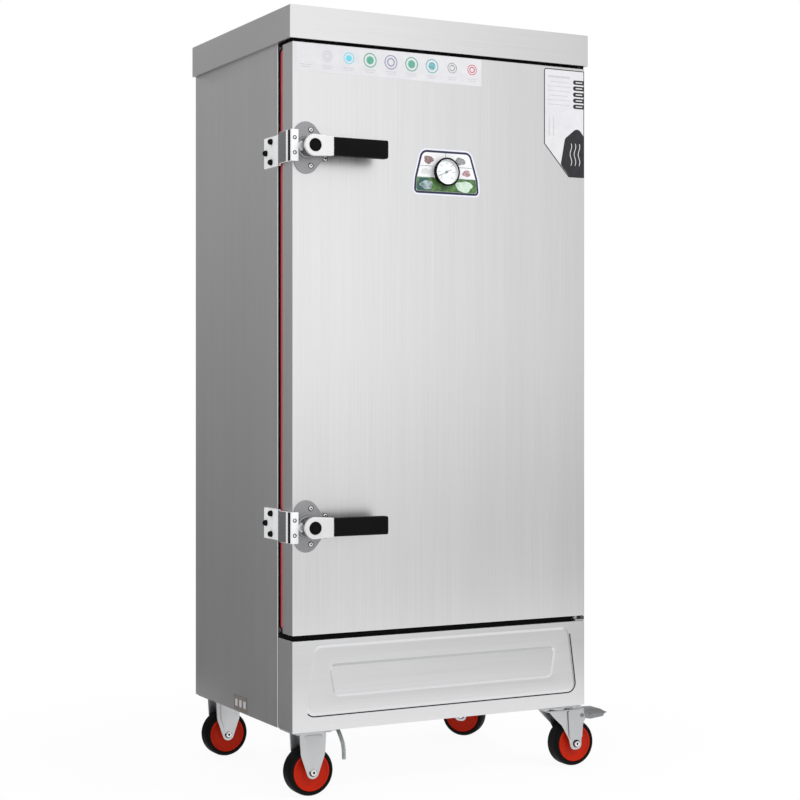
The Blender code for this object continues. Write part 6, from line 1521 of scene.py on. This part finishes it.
class STEAMER_OT_swivel_casters(PieceOperator, bpy.types.Operator):
    """Adds the two swivel casters with brakes on the right"""

    bl_idname = "steamer.swivel_casters"
    bl_label = "Swivel Casters"

    def make(self, sizes):
        for corner, (_, _, heading) in SWIVEL.items():
            self.plate(corner)
            place = caster_place(corner, heading)
            self.fork(corner, place)
            show(corner + "_axle_rivet", axle_shape(TRAIL), "polished_fastener", corner + "_swivel",
                 place=place)
            show(corner + "_axle_seats", axle_seats(TRAIL), "black_oxide_and_dark_band", corner + "_swivel",
                 place=place)
            show_wheel(corner, place, TRAIL)
            self.pedal(corner, place)

    def plate(self, corner):
        """The mounting plate with its ball race and the kingpin's end under it."""
        race = [
            (0, -0.0015), (0.0262, -0.0015), (0.0283, -0.0030), (0.0290, -0.0048), (0.0290, -0.0070),
            (0.0284, -0.0086), (0.0270, -0.0088), (0.0060, -0.0088), (0.0060, -0.0124), (0.0100, -0.0124),
            (0.0100, -0.0168), (0.0090, -0.0174), (0, -0.0174),
        ]
        shape = joined(mounting_plate(), turned(race, (0, 0, 0), "up", 56))
        show(corner + "_plate_pressing", shape, "zinc_plated_steel", "cabinet", (corner + "_caster_plate",),
             place=caster_place(corner))

    def fork(self, corner, place):
        """The fork: a dished crown and two ribbed legs that reach back to the axle."""
        top = -0.0091
        discs = [(0, 0, 0.029)]
        discs += [(x, side * 0.02425, 0.0025) for x in (-0.0280, 0.0615) for side in (-1, 1)]
        crown = plate([taut(discs, 56), circle((0, 0), 0.0066, 24)], top - 0.003, top, "z", 0.0008, 3)
        dish = [
            (0.0066, top), (0.0262, top), (0.0285, top - 0.0012), (0.0288, top - 0.0032),
            (0.0066, top - 0.0032)]
        leg_top = top - 0.0015
        tip = AXLE_Z - 0.013
        corners = [
            (-0.0280, leg_top), (0.0615, leg_top), (0.067, -0.033), (0.057, -0.048), (TRAIL + 0.013, tip),
            (TRAIL - 0.013, tip), (0.0235, -0.074), (0.0060, -0.044), (-0.0110, -0.0280)]
        outline = rounded(corners, [0.002, 0.004, 0.006, 0.006, 0.0115, 0.0115, 0.020, 0.020, 0.020], 6)
        corners = [
            (0.0240, leg_top - 0.004), (0.0560, leg_top - 0.004), (0.0570, -0.034), (0.0540, -0.046),
            (TRAIL + 0.009, AXLE_Z + 0.013), (TRAIL - 0.009, AXLE_Z + 0.013), (0.0270, -0.070)]
        rib = rounded(corners, [0.002, 0.004, 0.006, 0.006, 0.004, 0.004, 0.010], 5)
        hole = circle((TRAIL, AXLE_Z), 0.0046, 24)
        legs = [
            raised_leg(outline, hole, -LEG_OUTER, -LEG_INNER, -1, rib, 0.0028),
            raised_leg(outline, hole, LEG_INNER, LEG_OUTER, 1, rib, 0.0028),
        ]
        shape = joined(crown, turned(dish, (0, 0, 0), "up", 56, closed=True), *legs)
        show(corner + "_fork_pressing", shape, "zinc_plated_steel", corner + "_swivel", (corner + "_fork",),
             place=place)

    def pedal(self, corner, place):
        """The brake pedal: a bent tread with a toothed edge and ridges, two cheeks, its pin and a rivet."""
        pin_x, pin_z, reach, half = 0.056, -0.0245, 0.13087, 0.0172
        path = rounded(
            [(pin_x - 0.008, pin_z + 0.002), (pin_x + 0.010, pin_z + 0.002), (pin_x + 0.026, pin_z + 0.008),
             (pin_x + 0.052, pin_z + 0.007), (reach, pin_z - 0.003)],
            [0, 0.008, 0.010, 0.020, 0], 6, closed=False)
        path[-1] = Vector((reach - 0.006, pin_z - 0.0018))
        wide = strap(path, 0.0025, -half, half, "y", 0.0006)
        pitch = 0.035 / 3
        teeth = []
        for index in range(3):
            middle = (index - 1) * pitch
            outline = rounded(
                [(reach - 0.0075, middle - pitch / 2 + 0.0003), (reach - 0.0004, middle - 0.0022),
                 (reach - 0.0004, middle + 0.0022), (reach - 0.0075, middle + pitch / 2 - 0.0003)],
                [0.0002, 0.0015, 0.0015, 0.0002], 3)
            teeth.append(plate([outline], pin_z - 0.0024, pin_z + 0.0001, "z", 0.0005, 2))
        ridges = copies(
            block((-0.0012, -0.0135, 0.0), (0.0012, 0.0135, 0.0012), 0.0005, 2),
            [(reach - 0.012 - index * 0.006, 0, pin_z + 0.0007 + index * 0.0007) for index in range(3)])
        pin_place = (pin_x, 0, pin_z)
        pin = turned([(0, 0.0257), (0.0030, 0.0257), (0.0030, -0.0257), (0, -0.0257)], pin_place, "front", 24)
        head = [(0, 0.0305), (0.0030, 0.0303), (0.0044, 0.0295), (0.0046, 0.0286), (0, 0.0286)]
        head = turned(head, pin_place, "front", 24)
        cheek = rounded(
            [(0.0600, -0.0190), (0.0830, -0.0160), (0.1060, -0.0170), (0.1240, -0.0243), (0.1180, -0.0330),
             (0.0850, -0.0362), (0.0690, -0.0330), (0.0590, -0.0270)],
            [0.003, 0.010, 0.008, 0.003, 0.004, 0.010, 0.006, 0.004], 5)
        cheeks = []
        for side in (-half, half):
            cheeks.append(plate([cheek], side - 0.0008, side + 0.0008, "y", 0.0004, 2))
        rivet = [(0, 0.0200), (0.0024, 0.0198), (0.0034, 0.0190), (0.0036, 0.0179), (0, 0.0179)]
        rivet = turned(rivet, (0.0840, 0, -0.0265), "front", 20)
        shape = joined(wide, *teeth, *cheeks, ridges, pin, head, rivet)
        show(corner + "_pedal_pressing", shape, "passivated_zinc", corner + "_brake",
             (corner + "_brake_pedal",), place=place)


class STEAMER_OT_rear_fittings(PieceOperator, bpy.types.Operator):
    """Adds the service cover's screws and the rivets of the back, and dresses the rear fittings"""

    bl_idname = "steamer.rear_fittings"
    bl_label = "Rear Fittings"

    def make(self, sizes):
        dress("vent_pipe", "polished_stainless")
        dress("water_inlet", "polished_stainless")
        dress("rear_cover", "brushed_stainless_sheet")
        dress("cable_gland", "moulded_abs")
        low, high = box_of("rear_cover")
        cover_face = 0.2273 - 0.0002
        columns, rows = (low.x + 0.006, high.x - 0.006), (low.z + 0.03, (low.z + high.z) / 2, high.z - 0.03)
        spots = [(x, cover_face, z) for x in columns for z in rows]
        heads = copies(turned(screw_head(0.0042, 0.0020, 0.0016), (0, 0, 0), "back", 24), spots)
        show("cover_screws", heads, "polished_fastener", "cabinet")
        back_face = 0.2266
        seams = [(x, back_face, 0.20 + 0.17 * index) for x in (-0.325, 0.325) for index in range(8)]
        rivet = [(0, 0.0011), (0.0019, 0.0010), (0.0031, 0.0004), (0.0034, 0.0), (0, 0.0)]
        rivet = turned(rivet, (0, 0, 0), "back", 20)
        show("back_rivets", copies(rivet, seams), "polished_fastener", "cabinet")


class STEAMER_OT_chamber(PieceOperator, bpy.types.Operator):
    """Dresses what stands in the steaming chamber"""

    bl_idname = "steamer.chamber"
    bl_label = "Chamber Fittings"

    def make(self, sizes):
        for node in ("left_rack", "right_rack", "upper_tray", "lower_tray", "baffle_plate"):
            dress(node, "mill_finish_stainless")
        dress("heating_element", "heat_tinted_alloy")


OPERATORS = (
    STEAMER_OT_stage, STEAMER_OT_drain_hose, STEAMER_OT_carcass, STEAMER_OT_door, STEAMER_OT_latches,
    STEAMER_OT_gauge, STEAMER_OT_films, STEAMER_OT_rigid_casters, STEAMER_OT_swivel_casters,
    STEAMER_OT_rear_fittings, STEAMER_OT_chamber,
)


class STEAMER_PT_panel(bpy.types.Panel):
    """Lists the sizes, the colours and the operators"""

    bl_idname = "STEAMER_PT_panel"
    bl_label = "Steamer Cabinet"
    bl_space_type = "VIEW_3D"
    bl_region_type = "UI"
    bl_category = "Steamer Cabinet"

    def draw(self, context):
        for settings in (context.scene.steamer_sizes, context.scene.steamer_colours):
            box = self.layout.box()
            for key in settings.bl_rna.properties.keys():
                if key not in ("rna_type", "name"):
                    box.prop(settings, key)
        for operator in OPERATORS:
            self.layout.operator(operator.bl_idname)


CLASSES = (SteamerSizes, SteamerColours, *OPERATORS, STEAMER_PT_panel)


def register():
    for each in CLASSES:
        bpy.utils.register_class(each)
    bpy.types.Scene.steamer_sizes = PointerProperty(type=SteamerSizes)
    bpy.types.Scene.steamer_colours = PointerProperty(type=SteamerColours)


def unregister():
    del bpy.types.Scene.steamer_sizes
    del bpy.types.Scene.steamer_colours
    for each in reversed(CLASSES):
        bpy.utils.unregister_class(each)


def main():
    register()
    for operator in OPERATORS:
        group, name = operator.bl_idname.split(".")
        getattr(getattr(bpy.ops, group), name)()


if __name__ == "__main__":
    main()
